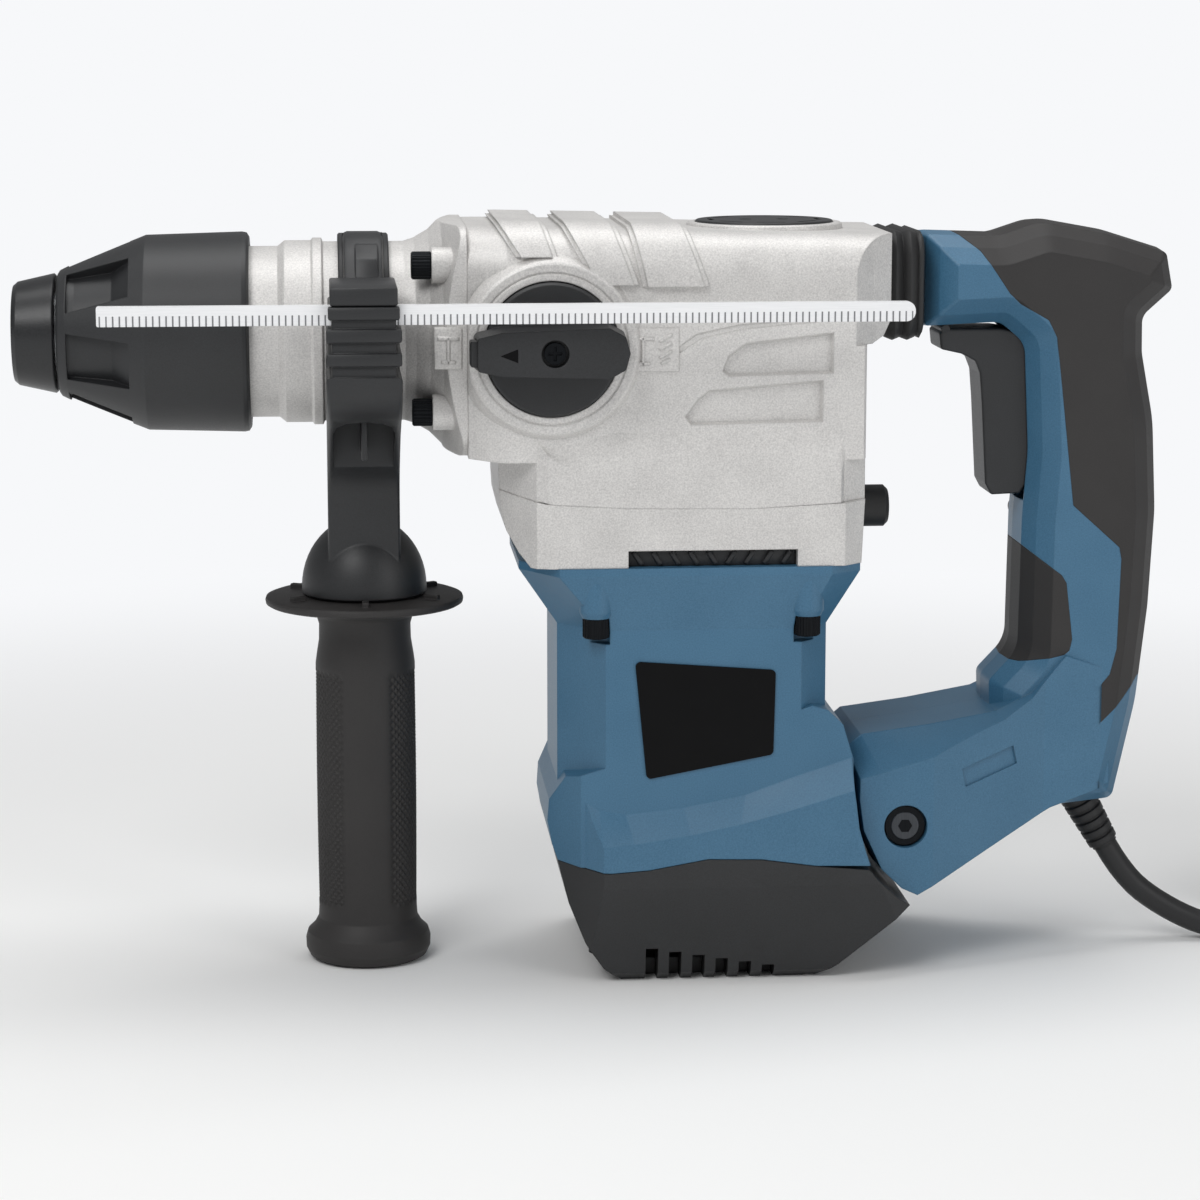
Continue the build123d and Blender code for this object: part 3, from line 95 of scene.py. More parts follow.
def newMaterial(name):
    material = bpy.data.materials.new(name)
    material.use_nodes = True
    tree = material.node_tree
    return material, tree, tree.nodes["Principled BSDF"]


def finishPiece(name, bm, material, body, replaced=(), smoothAngle=35):
    # Puts a bmesh, already in place, into the scene as one piece; a piece that blends rides on no body
    bmesh.ops.remove_doubles(bm, verts=bm.verts, dist=mergeDistance)
    bmesh.ops.recalc_face_normals(bm, faces=bm.faces)
    for face in bm.faces:
        face.smooth = True
    mesh = bpy.data.meshes.new(name)
    bm.to_mesh(mesh)
    bm.free()
    mesh.set_sharp_from_angle(angle=math.radians(smoothAngle))
    mesh.materials.append(material)
    piece = bpy.data.objects.new(name, mesh)
    bpy.context.scene.collection.objects.link(piece)
    if body:
        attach(piece, body)
    if replaced:
        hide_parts(*replaced)
    return piece


def spinProfile(profile, steps):
    # Turns a profile of (radius, height) in millimetres round Z
    bm = bmesh.new()
    verts = [bm.verts.new((radius * mm, 0, height * mm)) for radius, height in profile]
    edges = [bm.edges.new(pair) for pair in zip(verts[:-1], verts[1:])]
    bmesh.ops.spin(bm, geom=verts + edges, cent=(0, 0, 0), axis=(0, 0, 1),
                   angle=2 * math.pi, steps=steps, use_merge=True)
    bmesh.ops.remove_doubles(bm, verts=bm.verts, dist=mergeDistance)
    return bm


def alongAxis(start, end):
    # Takes a piece made up the Z axis to one that runs from start towards end
    direction = (Vector(end) - Vector(start)).normalized()
    turn = direction.to_track_quat("Z", "Y").to_matrix().to_4x4()
    return Matrix.Translation(Vector(start) * mm) @ turn


def extrudeOutline(bm, outline, depth, y):
    # A flat shape in the plane of Y given by (x, z) in millimetres, raised towards -Y by depth
    verts = [bm.verts.new((x * mm, y * mm, z * mm)) for x, z in outline]
    face = bm.faces.new(verts)
    made = bmesh.ops.extrude_face_region(bm, geom=[face])["geom"]
    raised = [item for item in made if isinstance(item, bmesh.types.BMVert)]
    bmesh.ops.translate(bm, vec=(0, -depth * mm, 0), verts=raised)


def edgesOf(verts):
    # Every edge that these points have, in a settled order
    return list(dict.fromkeys(edge for vert in verts for edge in vert.link_edges))


def roundEdges(bm, edges, rounding, segments):
    return bmesh.ops.bevel(bm, geom=edges, offset=rounding * mm, segments=segments, profile=0.5,
                           affect="EDGES", material=-1)


def roundedBlock(bm, low, high, rounding):
    # A box between two corners in millimetres with every edge rounded
    middle = [(a + b) / 2 * mm for a, b in zip(low, high)]
    size = [(b - a) * mm for a, b in zip(low, high)]
    scale = Matrix.Diagonal((*size, 1.0))
    made = bmesh.ops.create_cube(bm, size=1.0, matrix=Matrix.Translation(middle) @ scale)["verts"]
    rounded = roundEdges(bm, edgesOf(made), rounding, 2)
    return list(dict.fromkeys(vert for face in rounded["faces"] for vert in face.verts))


def prismAcross(bm, outline, low, high):
    # An outline of (y, z) drawn out along X from low to high, all in millimetres
    verts = [bm.verts.new((low * mm, y * mm, z * mm)) for y, z in outline]
    face = bm.faces.new(verts)
    made = bmesh.ops.extrude_face_region(bm, geom=[face])["geom"]
    moved = [item for item in made if isinstance(item, bmesh.types.BMVert)]
    bmesh.ops.translate(bm, vec=((high - low) * mm, 0, 0), verts=moved)
    return verts + moved


def ringAcross(low, high, inner, outer, chamfer, steps):
    # A ring round X with its outer corners cut off
    bm = bmesh.new()
    profile = [(inner, low), (outer - chamfer, low), (outer, low + chamfer), (outer, high - chamfer),
               (outer - chamfer, high), (inner, high)]
    verts = [bm.verts.new((x * mm, 0, radius * mm)) for radius, x in profile]
    edges = [bm.edges.new((verts[index - 1], verts[index])) for index in range(len(verts))]
    bmesh.ops.spin(bm, geom=verts + edges, cent=(0, 0, 0), axis=(1, 0, 0), angle=2 * math.pi, steps=steps,
                   use_merge=True)
    return bm


def joinInto(bm, other):
    # Adds a second mesh to the first and uses it up
    mesh = bpy.data.meshes.new("part")
    other.to_mesh(mesh)
    other.free()
    bm.from_mesh(mesh)
    bpy.data.meshes.remove(mesh)


def cutAway(bm, cutter):
    # Both meshes are used up; what is left of the first comes back as a new one
    pieces = []
    for name, shape in (("kept", bm), ("cutter", cutter)):
        bmesh.ops.recalc_face_normals(shape, faces=shape.faces)
        mesh = bpy.data.meshes.new(name)
        shape.to_mesh(mesh)
        shape.free()
        piece = bpy.data.objects.new(name, mesh)
        bpy.context.scene.collection.objects.link(piece)
        pieces.append(piece)
    cut = pieces[0].modifiers.new("cut", "BOOLEAN")
    cut.object = pieces[1]
    cut.operation = "DIFFERENCE"
    cut.solver = "EXACT"
    result = bmesh.new()
    result.from_object(pieces[0], bpy.context.evaluated_depsgraph_get())
    for piece in pieces:
        mesh = piece.data
        bpy.data.objects.remove(piece)
        bpy.data.meshes.remove(mesh)
    return result


# Camera

cameraSettings = {
    "place": (0.0941, -1.1000, 0.1011),
    "turn": 4.7,  # degrees towards the rear
    "tilt": 9.8,  # degrees down
    "lens": 101.8,
    "sensor": 36.0,
}


def makeCamera(settings):
    data = bpy.data.cameras.new("camera")
    data.lens = settings["lens"]
    data.sensor_width = settings["sensor"]
    camera = bpy.data.objects.new("camera", data)
    bpy.context.scene.collection.objects.link(camera)
    turn = math.radians(settings["turn"])
    tilt = math.radians(settings["tilt"])
    ahead = Vector((math.sin(turn) * math.cos(tilt), math.cos(turn) * math.cos(tilt), -math.sin(tilt)))
    camera.location = settings["place"]
    camera.rotation_euler = ahead.to_track_quat("-Z", "Y").to_euler()
    bpy.context.scene.camera = camera
    print("camera made")


makeCamera(cameraSettings)


# Finishes

# Die-cast aluminium, shot-blasted and clear lacquered: pale warm grey with a fine sparkle of grit
castSettings = {
    "dark": "BDBBB9",
    "light": "DEDCD9",
    "gritSize": 0.55,  # mm, drawn coarser than the real 0.2 mm so that it shows
    "cloudSize": 14.0,
    "roughness": 0.48,
    "metallic": 0.25,
}

# Glass-filled nylon with a spark-eroded mould texture: even colour, soft highlight, dull sparkle
# Each row: dark colour, light colour, grain in mm, roughness
mouldedSettings = {
    "blueShell": ("33607D", "44708D", 0.45, 0.42),
    "blackPlastic": ("1B1C1D", "28292B", 0.40, 0.46),
    "nosePlastic": ("131415", "1E1F21", 0.50, 0.34),
    "gripRubber": ("211F1F", "2E2C2B", 0.35, 0.60),
    "softRubber": ("1A1A1B", "262626", 0.50, 0.55),
    "cordSheath": ("161617", "202021", 0.60, 0.48),
}


def castAlloy(settings):
    material, tree, shader = newMaterial("castAlloy")
    place = addNode(tree, "ShaderNodeTexCoord").outputs["Object"]
    grit = addNode(tree, "ShaderNodeTexNoise", inputs={
        "Vector": place, "Scale": 1 / (settings["gritSize"] * mm), "Detail": 2.0, "Roughness": 0.6})
    cloud = addNode(tree, "ShaderNodeTexNoise", inputs={
        "Vector": place, "Scale": 1 / (settings["cloudSize"] * mm), "Detail": 3.0})
    both = addNode(tree, "ShaderNodeMath", {"operation": "MULTIPLY_ADD"}, {
        0: cloud.outputs["Fac"], 1: 0.35, 2: grit.outputs["Fac"]})
    spread = addNode(tree, "ShaderNodeMapRange", inputs={
        "Value": both.outputs[0], "From Min": 0.45, "From Max": 0.90})
    colour = addNode(tree, "ShaderNodeMix", {"data_type": "RGBA"}, {
        0: spread.outputs[0], 6: toLinear(settings["dark"]), 7: toLinear(settings["light"])})
    gloss = addNode(tree, "ShaderNodeMapRange", inputs={
        "Value": grit.outputs["Fac"], "From Min": 0.3, "From Max": 0.7,
        "To Min": settings["roughness"] - 0.06, "To Max": settings["roughness"] + 0.08})
    edge = addNode(tree, "ShaderNodeBevel", {"samples": 4}, {"Radius": 0.7 * mm})
    bump = addNode(tree, "ShaderNodeBump", inputs={
        "Height": grit.outputs["Fac"], "Strength": 0.25, "Distance": 0.10 * mm,
        "Normal": edge.outputs["Normal"]})
    tree.links.new(colour.outputs[2], shader.inputs["Base Color"])
    tree.links.new(gloss.outputs[0], shader.inputs["Roughness"])
    tree.links.new(bump.outputs["Normal"], shader.inputs["Normal"])
    shader.inputs["Metallic"].default_value = settings["metallic"]
    return material


def mouldedFinish(name, settings):
    darkColour, lightColour, grainSize, roughness = settings
    material, tree, shader = newMaterial(name)
    place = addNode(tree, "ShaderNodeTexCoord").outputs["Object"]
    grain = addNode(tree, "ShaderNodeTexNoise", inputs={
        "Vector": place, "Scale": 1 / (grainSize * mm), "Detail": 2.0, "Roughness": 0.55})
    cloud = addNode(tree, "ShaderNodeTexNoise", inputs={
        "Vector": place, "Scale": 1 / (22 * mm), "Detail": 3.0})
    both = addNode(tree, "ShaderNodeMath", {"operation": "MULTIPLY_ADD"}, {
        0: cloud.outputs["Fac"], 1: 0.4, 2: grain.outputs["Fac"]})
    spread = addNode(tree, "ShaderNodeMapRange", inputs={
        "Value": both.outputs[0], "From Min": 0.45, "From Max": 0.95})
    colour = addNode(tree, "ShaderNodeMix", {"data_type": "RGBA"}, {
        0: spread.outputs[0], 6: toLinear(darkColour), 7: toLinear(lightColour)})
    gloss = addNode(tree, "ShaderNodeMapRange", inputs={
        "Value": grain.outputs["Fac"], "From Min": 0.3, "From Max": 0.7,
        "To Min": roughness - 0.05, "To Max": roughness + 0.07})
    edge = addNode(tree, "ShaderNodeBevel", {"samples": 4}, {"Radius": 0.6 * mm})
    bump = addNode(tree, "ShaderNodeBump", inputs={
        "Height": grain.outputs["Fac"], "Strength": 0.30, "Distance": 0.08 * mm,
        "Normal": edge.outputs["Normal"]})
    tree.links.new(colour.outputs[2], shader.inputs["Base Color"])
    tree.links.new(gloss.outputs[0], shader.inputs["Roughness"])
    tree.links.new(bump.outputs["Normal"], shader.inputs["Normal"])
    return material


# Turned, ground or blackened steel: darker rings where the tool passed, sharp highlights
# Each row: dark colour, light colour, roughness
metalSettings = {
    "blackSteel": ("17181A", "26282A", 0.36),
    "darkSteel": ("3A3C3F", "55585C", 0.30),
    "groundSteel": ("8F9193", "B4B6B8", 0.24),
    "pistonAlloy": ("A3A4A5", "C2C3C4", 0.30),
}


def turnedMetal(name, settings):
    darkColour, lightColour, roughness = settings
    material, tree, shader = newMaterial(name)
    place = addNode(tree, "ShaderNodeTexCoord").outputs["Object"]
    stretched = addNode(tree, "ShaderNodeMapping", inputs={
        "Vector": place, "Scale": (1 / (0.25 * mm), 1 / (6 * mm), 1 / (6 * mm))})
    marks = addNode(tree, "ShaderNodeTexNoise", inputs={
        "Vector": stretched.outputs[0], "Scale": 1.0, "Detail": 3.0})
    colour = addNode(tree, "ShaderNodeMix", {"data_type": "RGBA"}, {
        0: marks.outputs["Fac"], 6: toLinear(darkColour), 7: toLinear(lightColour)})
    gloss = addNode(tree, "ShaderNodeMapRange", inputs={
        "Value": marks.outputs["Fac"], "To Min": roughness - 0.06, "To Max": roughness + 0.10})
    edge = addNode(tree, "ShaderNodeBevel", {"samples": 4}, {"Radius": 0.25 * mm})
    bump = addNode(tree, "ShaderNodeBump", inputs={
        "Height": marks.outputs["Fac"], "Strength": 0.2, "Distance": 0.04 * mm,
        "Normal": edge.outputs["Normal"]})
    tree.links.new(colour.outputs[2], shader.inputs["Base Color"])
    tree.links.new(gloss.outputs[0], shader.inputs["Roughness"])
    tree.links.new(bump.outputs["Normal"], shader.inputs["Normal"])
    shader.inputs["Metallic"].default_value = 1.0
    return material


# Vinyl label under a clear film: nearly black, with a weak highlight
def glossFilm():
    material, tree, shader = newMaterial("glossFilm")
    place = addNode(tree, "ShaderNodeTexCoord").outputs["Object"]
    ripple = addNode(tree, "ShaderNodeTexNoise", inputs={
        "Vector": place, "Scale": 1 / (9 * mm), "Detail": 1.0})
    colour = addNode(tree, "ShaderNodeMix", {"data_type": "RGBA"}, {
        0: ripple.outputs["Fac"], 6: toLinear("020203"), 7: toLinear("060607")})
    bump = addNode(tree, "ShaderNodeBump", inputs={
        "Height": ripple.outputs["Fac"], "Strength": 0.15, "Distance": 0.1 * mm})
    tree.links.new(colour.outputs[2], shader.inputs["Base Color"])
    tree.links.new(bump.outputs["Normal"], shader.inputs["Normal"])
    shader.inputs["Roughness"].default_value = 0.22
    shader.inputs["Specular IOR Level"].default_value = 0.12
    return material


# Stacked electrical sheet, varnished: dull steel with a fine line at every sheet
# Enamelled copper wire wound side by side: orange-brown, its light bands a painted highlight along each wire
# and its dark bands painted shade between the wires
# Each row: dark colour, light colour, pitch in mm, metallic, roughness
stripeSettings = {
    "laminatedSteel": ("3A3B3D", "6E7073", 1.0, 1.0, 0.42),  # mm pitch, drawn wider than the real 0.5 mm
    "copperWire": ("6A2E14", "B8652F", 1.1, 1.0, 0.32),
}


def stripedMetal(name, settings):
    darkColour, lightColour, pitch, metallic, roughness = settings
    material, tree, shader = newMaterial(name)
    place = addNode(tree, "ShaderNodeTexCoord").outputs["Object"]
    stripe = addNode(tree, "ShaderNodeTexWave", {"bands_direction": "Z"}, {
        "Vector": place, "Scale": 2 * math.pi / 20 / (pitch * mm), "Distortion": 0.3})
    # For the copper wire the light colour is a painted highlight along each wire and the dark colour painted
    # shade between the wires; for the laminated steel the dark bands are the joints between sheets
    colour = addNode(tree, "ShaderNodeMix", {"data_type": "RGBA"}, {
        0: stripe.outputs["Fac"], 6: toLinear(darkColour), 7: toLinear(lightColour)})
    bump = addNode(tree, "ShaderNodeBump", inputs={
        "Height": stripe.outputs["Fac"], "Strength": 0.5, "Distance": 0.15 * mm})
    tree.links.new(colour.outputs[2], shader.inputs["Base Color"])
    tree.links.new(bump.outputs["Normal"], shader.inputs["Normal"])
    shader.inputs["Metallic"].default_value = metallic
    shader.inputs["Roughness"].default_value = roughness
    return material


# Rolled aluminium strip, bright, with black tick marks every 2 mm along its lower half
rodSettings = {
    "pitch": 2.0,
    "tickWidth": 0.45,
    "light": "F6F6F7",
    "dark": "E6E7E8",
    "tick": "7C7D80",
}


def ruledStrip(settings):
    material, tree, shader = newMaterial("ruledStrip")
    low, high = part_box("depth_rod")
    middle = (low.z + high.z) / 2
    place = addNode(tree, "ShaderNodeTexCoord").outputs["Object"]
    parts = addNode(tree, "ShaderNodeSeparateXYZ", inputs={0: place})
    step = addNode(tree, "ShaderNodeMath", {"operation": "MODULO"}, {
        0: parts.outputs["X"], 1: settings["pitch"] * mm})
    shift = addNode(tree, "ShaderNodeMath", {"operation": "COMPARE"}, {
        0: step.outputs[0], 1: 1.4 * mm, 2: settings["tickWidth"] / 2 * mm})
    below = addNode(tree, "ShaderNodeMath", {"operation": "LESS_THAN"}, {
        0: parts.outputs["Z"], 1: middle + 0.1 * mm})
    tick = addNode(tree, "ShaderNodeMath", {"operation": "MULTIPLY"}, {
        0: shift.outputs[0], 1: below.outputs[0]})
    scratch = addNode(tree, "ShaderNodeMapping", inputs={
        "Vector": place, "Scale": (1 / (9 * mm), 1 / (0.3 * mm), 1 / (0.3 * mm))})
    grain = addNode(tree, "ShaderNodeTexNoise", inputs={
        "Vector": scratch.outputs[0], "Scale": 1.0, "Detail": 2.0})
    plain = addNode(tree, "ShaderNodeMix", {"data_type": "RGBA"}, {
        0: grain.outputs["Fac"], 6: toLinear(settings["dark"]), 7: toLinear(settings["light"])})
    colour = addNode(tree, "ShaderNodeMix", {"data_type": "RGBA"}, {
        0: tick.outputs[0], 6: plain.outputs[2], 7: toLinear(settings["tick"])})
    edge = addNode(tree, "ShaderNodeBevel", {"samples": 4}, {"Radius": 0.3 * mm})
    bump = addNode(tree, "ShaderNodeBump", inputs={
        "Height": grain.outputs["Fac"], "Strength": 0.2, "Distance": 0.05 * mm,
        "Normal": edge.outputs["Normal"]})
    tree.links.new(colour.outputs[2], shader.inputs["Base Color"])
    tree.links.new(bump.outputs["Normal"], shader.inputs["Normal"])
    shader.inputs["Metallic"].default_value = 0.1
    shader.inputs["Roughness"].default_value = 0.32
    return material


finishes = {"cast_alloy": castAlloy(castSettings)}
finishes["blue_shell"] = mouldedFinish("blueShell", mouldedSettings["blueShell"])
finishes["black_plastic"] = mouldedFinish("blackPlastic", mouldedSettings["blackPlastic"])
finishes["nose_rubber"] = mouldedFinish("nosePlastic", mouldedSettings["nosePlastic"])
finishes["grip_rubber"] = mouldedFinish("gripRubber", mouldedSettings["gripRubber"])
finishes["soft_rubber"] = mouldedFinish("softRubber", mouldedSettings["softRubber"])
finishes["cord_sheath"] = mouldedFinish("cordSheath", mouldedSettings["cordSheath"])
finishes["black_steel"] = turnedMetal("blackSteel", metalSettings["blackSteel"])
finishes["dark_steel"] = turnedMetal("darkSteel", metalSettings["darkSteel"])
finishes["ground_steel"] = turnedMetal("groundSteel", metalSettings["groundSteel"])
finishes["piston_alloy"] = turnedMetal("pistonAlloy", metalSettings["pistonAlloy"])
finishes["gloss_label"] = glossFilm()
finishes["lamination_steel"] = stripedMetal("laminatedSteel", stripeSettings["laminatedSteel"])
finishes["copper_winding"] = stripedMetal("copperWire", stripeSettings["copperWire"])
finishes["carbon"] = mouldedFinish("pressedCarbon", ("0F0F10", "1B1B1C", 0.30, 0.50))
finishes["depth_rod_metal"] = ruledStrip(rodSettings)


def paintNodes():
    for part in frame["record"]["subparts"]:
        node = cadNodes[part["node"]]
        node.data.materials.clear()
        node.data.materials.append(finishes[part["material_slot"]])
    print("finishes on", len(cadNodes), "nodes")


# Power cord

cordSettings = {
    "diameter": 8.0,
    "length": 1735.0,
    "route": [
        (355.8, 0.0, -175.35), (362.6, 0.0, -187.0), (375.5, -1.0, -197.0), (391.5, -3.6, -204.5),
        (412.0, -8.6, -204.5), (436.0, -12.6, -204.5), (462.0, -14.0, -204.5),
    ],
    "coilCentre": (462.0, 42.0),
    "outerRadius": 56.0,
    "turnsPerLayer": 3,
    "pointsPerTurn": 18,
    "riseTurns": 1 / 6,  # share of a turn that climbs to the upper layer
    "plugOverlap": 4,
}


def coilPoints(settings):
    centreX, centreY = settings["coilCentre"]
    pitch = settings["diameter"]
    low = settings["route"][-1][2]
    inward = settings["turnsPerLayer"] + settings["riseTurns"]
    points = []
    for step in range(1, 2 * settings["turnsPerLayer"] * settings["pointsPerTurn"] + 1):
        turns = step / settings["pointsPerTurn"]
        radius = settings["outerRadius"] - pitch * min(turns, inward) + pitch * max(0, turns - inward)
        climb = min(max((turns - settings["turnsPerLayer"]) / settings["riseTurns"], 0), 1)
        angle = 2 * math.pi * turns - math.pi / 2
        points.append((centreX + radius * math.cos(angle), centreY + radius * math.sin(angle),
                       low + pitch * climb))
    return points


def makePowerCord(settings):
    plugLow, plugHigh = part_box("power_plug")
    plugMiddle = (plugLow + plugHigh) / 2 / mm
    inPlug = (plugLow.x / mm + settings["plugOverlap"], plugMiddle.y, plugMiddle.z)
    places = settings["route"] + coilPoints(settings) + [inPlug]
    curve = bpy.data.curves.new("powerCord", "CURVE")
    curve.dimensions = "3D"
    curve.bevel_depth = settings["diameter"] / 2 * mm
    curve.bevel_resolution = 5
    curve.resolution_u = 5
    curve.use_fill_caps = True
    spline = curve.splines.new("NURBS")
    spline.points.add(len(places) - 1)
    for point, place in zip(spline.points, places):
        point.co = (place[0] * mm, place[1] * mm, place[2] * mm, 1)
    spline.use_endpoint_u = True
    spline.order_u = 3
    curve.materials.append(finishes["cord_sheath"])
    piece = bpy.data.objects.new("powerCord", curve)
    bpy.context.scene.collection.objects.link(piece)
    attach(piece, "rear_handle")
    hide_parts("power_cord", "cord_coil")
    print("power cord made")
    return piece


# Strain relief: a tapering sleeve with ring slots that lets the cord bend

guardSettings = {
    "start": (345.5, 0.0, -157.5),
    "end": (355.8, 0.0, -175.35),
    "startRadius": 6.2,
    "endRadius": 5.0,
    "boreRadius": 3.9,
    "rings": 6,
    "ringShape": [(0.0, 0), (0.62, 0), (0.70, 1), (0.92, 1)],  # share of a ring's length, sunk or not
    "slotDepth": 0.8,
    "endStep": 0.6,
}


def makeCordGuard(settings):
    span = (Vector(settings["end"]) - Vector(settings["start"])).length
    profile = [(settings["boreRadius"], 0.0), (settings["startRadius"], 0.0)]
    for ring in range(settings["rings"]):
        for share, sunk in settings["ringShape"]:
            place = (ring + share) / settings["rings"]
            radius = settings["startRadius"] + (settings["endRadius"] - settings["startRadius"]) * place
            profile.append((radius - settings["slotDepth"] * sunk, span * place))
    profile.append((settings["endRadius"] - settings["endStep"], span))
    profile.append((settings["boreRadius"], span))
    profile.append((settings["boreRadius"], 0.0))
    bm = spinProfile(profile, 32)
    bmesh.ops.transform(bm, matrix=alongAxis(settings["start"], settings["end"]), verts=bm.verts)
    finishPiece("cordGuardSleeve", bm, finishes["cord_sheath"], "rear_handle",
                ["cord_guard"])


# Moulded two-pin plug with a finger waist

plugSettings = {
    "outline": [
        (0, 0), (4.6, 0), (5.2, 3), (5.4, 9), (6.0, 16), (8.6, 22), (11.2, 26), (11.9, 29), (11.9, 31),
        (11.2, 32.4), (0, 32.4),
    ],
    "pinRadius": 2.0,
    "pinSpacing": 9.5,
    "pinLength": 15.6,
    "pinOverlap": 1.0,  # how far the pins reach into the body
    "tipRounding": 1.0,
}


def makePlug(settings):
    low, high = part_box("power_plug")
    start = (low.x / mm, (low.y + high.y) / 2 / mm, (low.z + high.z) / 2 / mm)
    turn = alongAxis(start, (start[0] + 10, start[1], start[2]))
    bm = spinProfile(settings["outline"], 36)
    bmesh.ops.transform(bm, matrix=turn, verts=bm.verts)
    body = finishPiece("plugBody", bm, finishes["cord_sheath"], "rear_handle", ["power_plug"])
    pins = bmesh.new()
    bodyEnd = settings["outline"][-1][1]
    for side in (-1, 1):
        made = bmesh.ops.create_cone(pins, cap_ends=True, segments=16, radius1=settings["pinRadius"] * mm,
                                     radius2=settings["pinRadius"] * mm, depth=settings["pinLength"] * mm)
        place = (start[0] + bodyEnd - settings["pinOverlap"] + settings["pinLength"] / 2,
                 start[1] + side * settings["pinSpacing"], start[2])
        bmesh.ops.transform(pins, matrix=Matrix.Translation(Vector(place) * mm)
                            @ Matrix.Rotation(math.pi / 2, 4, "Y"), verts=made["verts"])
    tips = [edge for edge in pins.edges if all(vert.co.x > high.x - 3 * mm for vert in edge.verts)]
    roundEdges(pins, tips, settings["tipRounding"], 3)
    pinPiece = finishPiece("plugPins", pins, finishes["ground_steel"], "rear_handle")
    print("plug made")
    return [body, pinPiece]


powerCord = makePowerCord(cordSettings)
plugPieces = makePlug(plugSettings)
makeCordGuard(guardSettings)
paintNodes()


# Side grip: hollow rubber handle with a thumb flange and knurled side panels

gripSettings = {
    "middle": (107.0, 0.0),
    "profile": [
        (4.2, -86.3), (31.0, -86.3), (32.1, -86.7), (32.4, -87.6), (32.2, -88.7), (31.2, -89.3),
        (20.0, -90.0), (17.4, -91.2), (15.8, -93.2), (15.0, -96.0), (15.1, -101.0), (15.9, -106.0),
        (16.3, -109.0),
    ],
    "foot": [
        (16.2, -191.0), (16.4, -194.6), (17.9, -197.4), (20.0, -199.4), (20.7, -201.8), (20.6, -204.8),
        (19.4, -207.3), (17.4, -208.4), (4.2, -208.4),
    ],
    "rows": 66,
    "steps": 84,
    "knurlDepth": 0.55,
    "stripHalfAngle": 27,  # degrees of the smooth strip each side of the front and the back
    "ribs": 6,
    "ribPlace": (22.4, 27.6, -86.9, -84.7),  # radius from and to, height from and to
    "ribWidth": 2.2,
    "ribRounding": 0.4,
    "bulge": 0.25,  # how much fuller the grip is at half height
}


def makeSideGrip(settings):
    top = settings["profile"][-1]
    bottom = settings["foot"][0]
    profile = list(settings["profile"])
    for row in range(1, settings["rows"]):
        share = row / settings["rows"]
        radius = top[0] + (bottom[0] - top[0]) * share + settings["bulge"] * math.sin(math.pi * share)
        profile.append((radius, top[1] + (bottom[1] - top[1]) * share))
    profile += settings["foot"]
    bm = spinProfile(profile, settings["steps"])
    pitch = (top[1] - bottom[1]) / settings["rows"]
    lows = []
    for vert in bm.verts:
        row = round((top[1] - vert.co.z / mm) / pitch)
        if not 2 <= row <= settings["rows"] - 2 or math.hypot(vert.co.x, vert.co.y) < 10 * mm:
            continue
        angle = math.degrees(math.atan2(vert.co.y, vert.co.x))
        if abs(angle % 180 - 90) < settings["stripHalfAngle"]:
            continue
        column = round(angle * settings["steps"] / 360)
        if (row + column) % 2:
            lows.append(vert)
            outward = Vector((vert.co.x, vert.co.y, 0)).normalized()
            vert.co -= outward * settings["knurlDepth"] * mm
    bmesh.ops.connect_verts(bm, verts=lows)
    near, far, low, high = settings["ribPlace"]
    halfWidth = settings["ribWidth"] / 2
    for rib in range(settings["ribs"]):
        verts = roundedBlock(bm, (near, -halfWidth, low), (far, halfWidth, high), settings["ribRounding"])
        turn = Matrix.Rotation(math.radians(360 * rib / settings["ribs"] - 90), 4, "Z")
        bmesh.ops.transform(bm, matrix=turn, verts=verts)
    bmesh.ops.translate(bm, vec=(settings["middle"][0] * mm, settings["middle"][1] * mm, 0), verts=bm.verts)
    finishPiece("sideGripRubber", bm, finishes["grip_rubber"], "side_grip",
                ["side_handle_grip"], smoothAngle=22)
    print("side grip made")


makeSideGrip(gripSettings)


# Side handle bracket: clamp band, stop rod holder, hooded yoke and the dome that sits on the grip

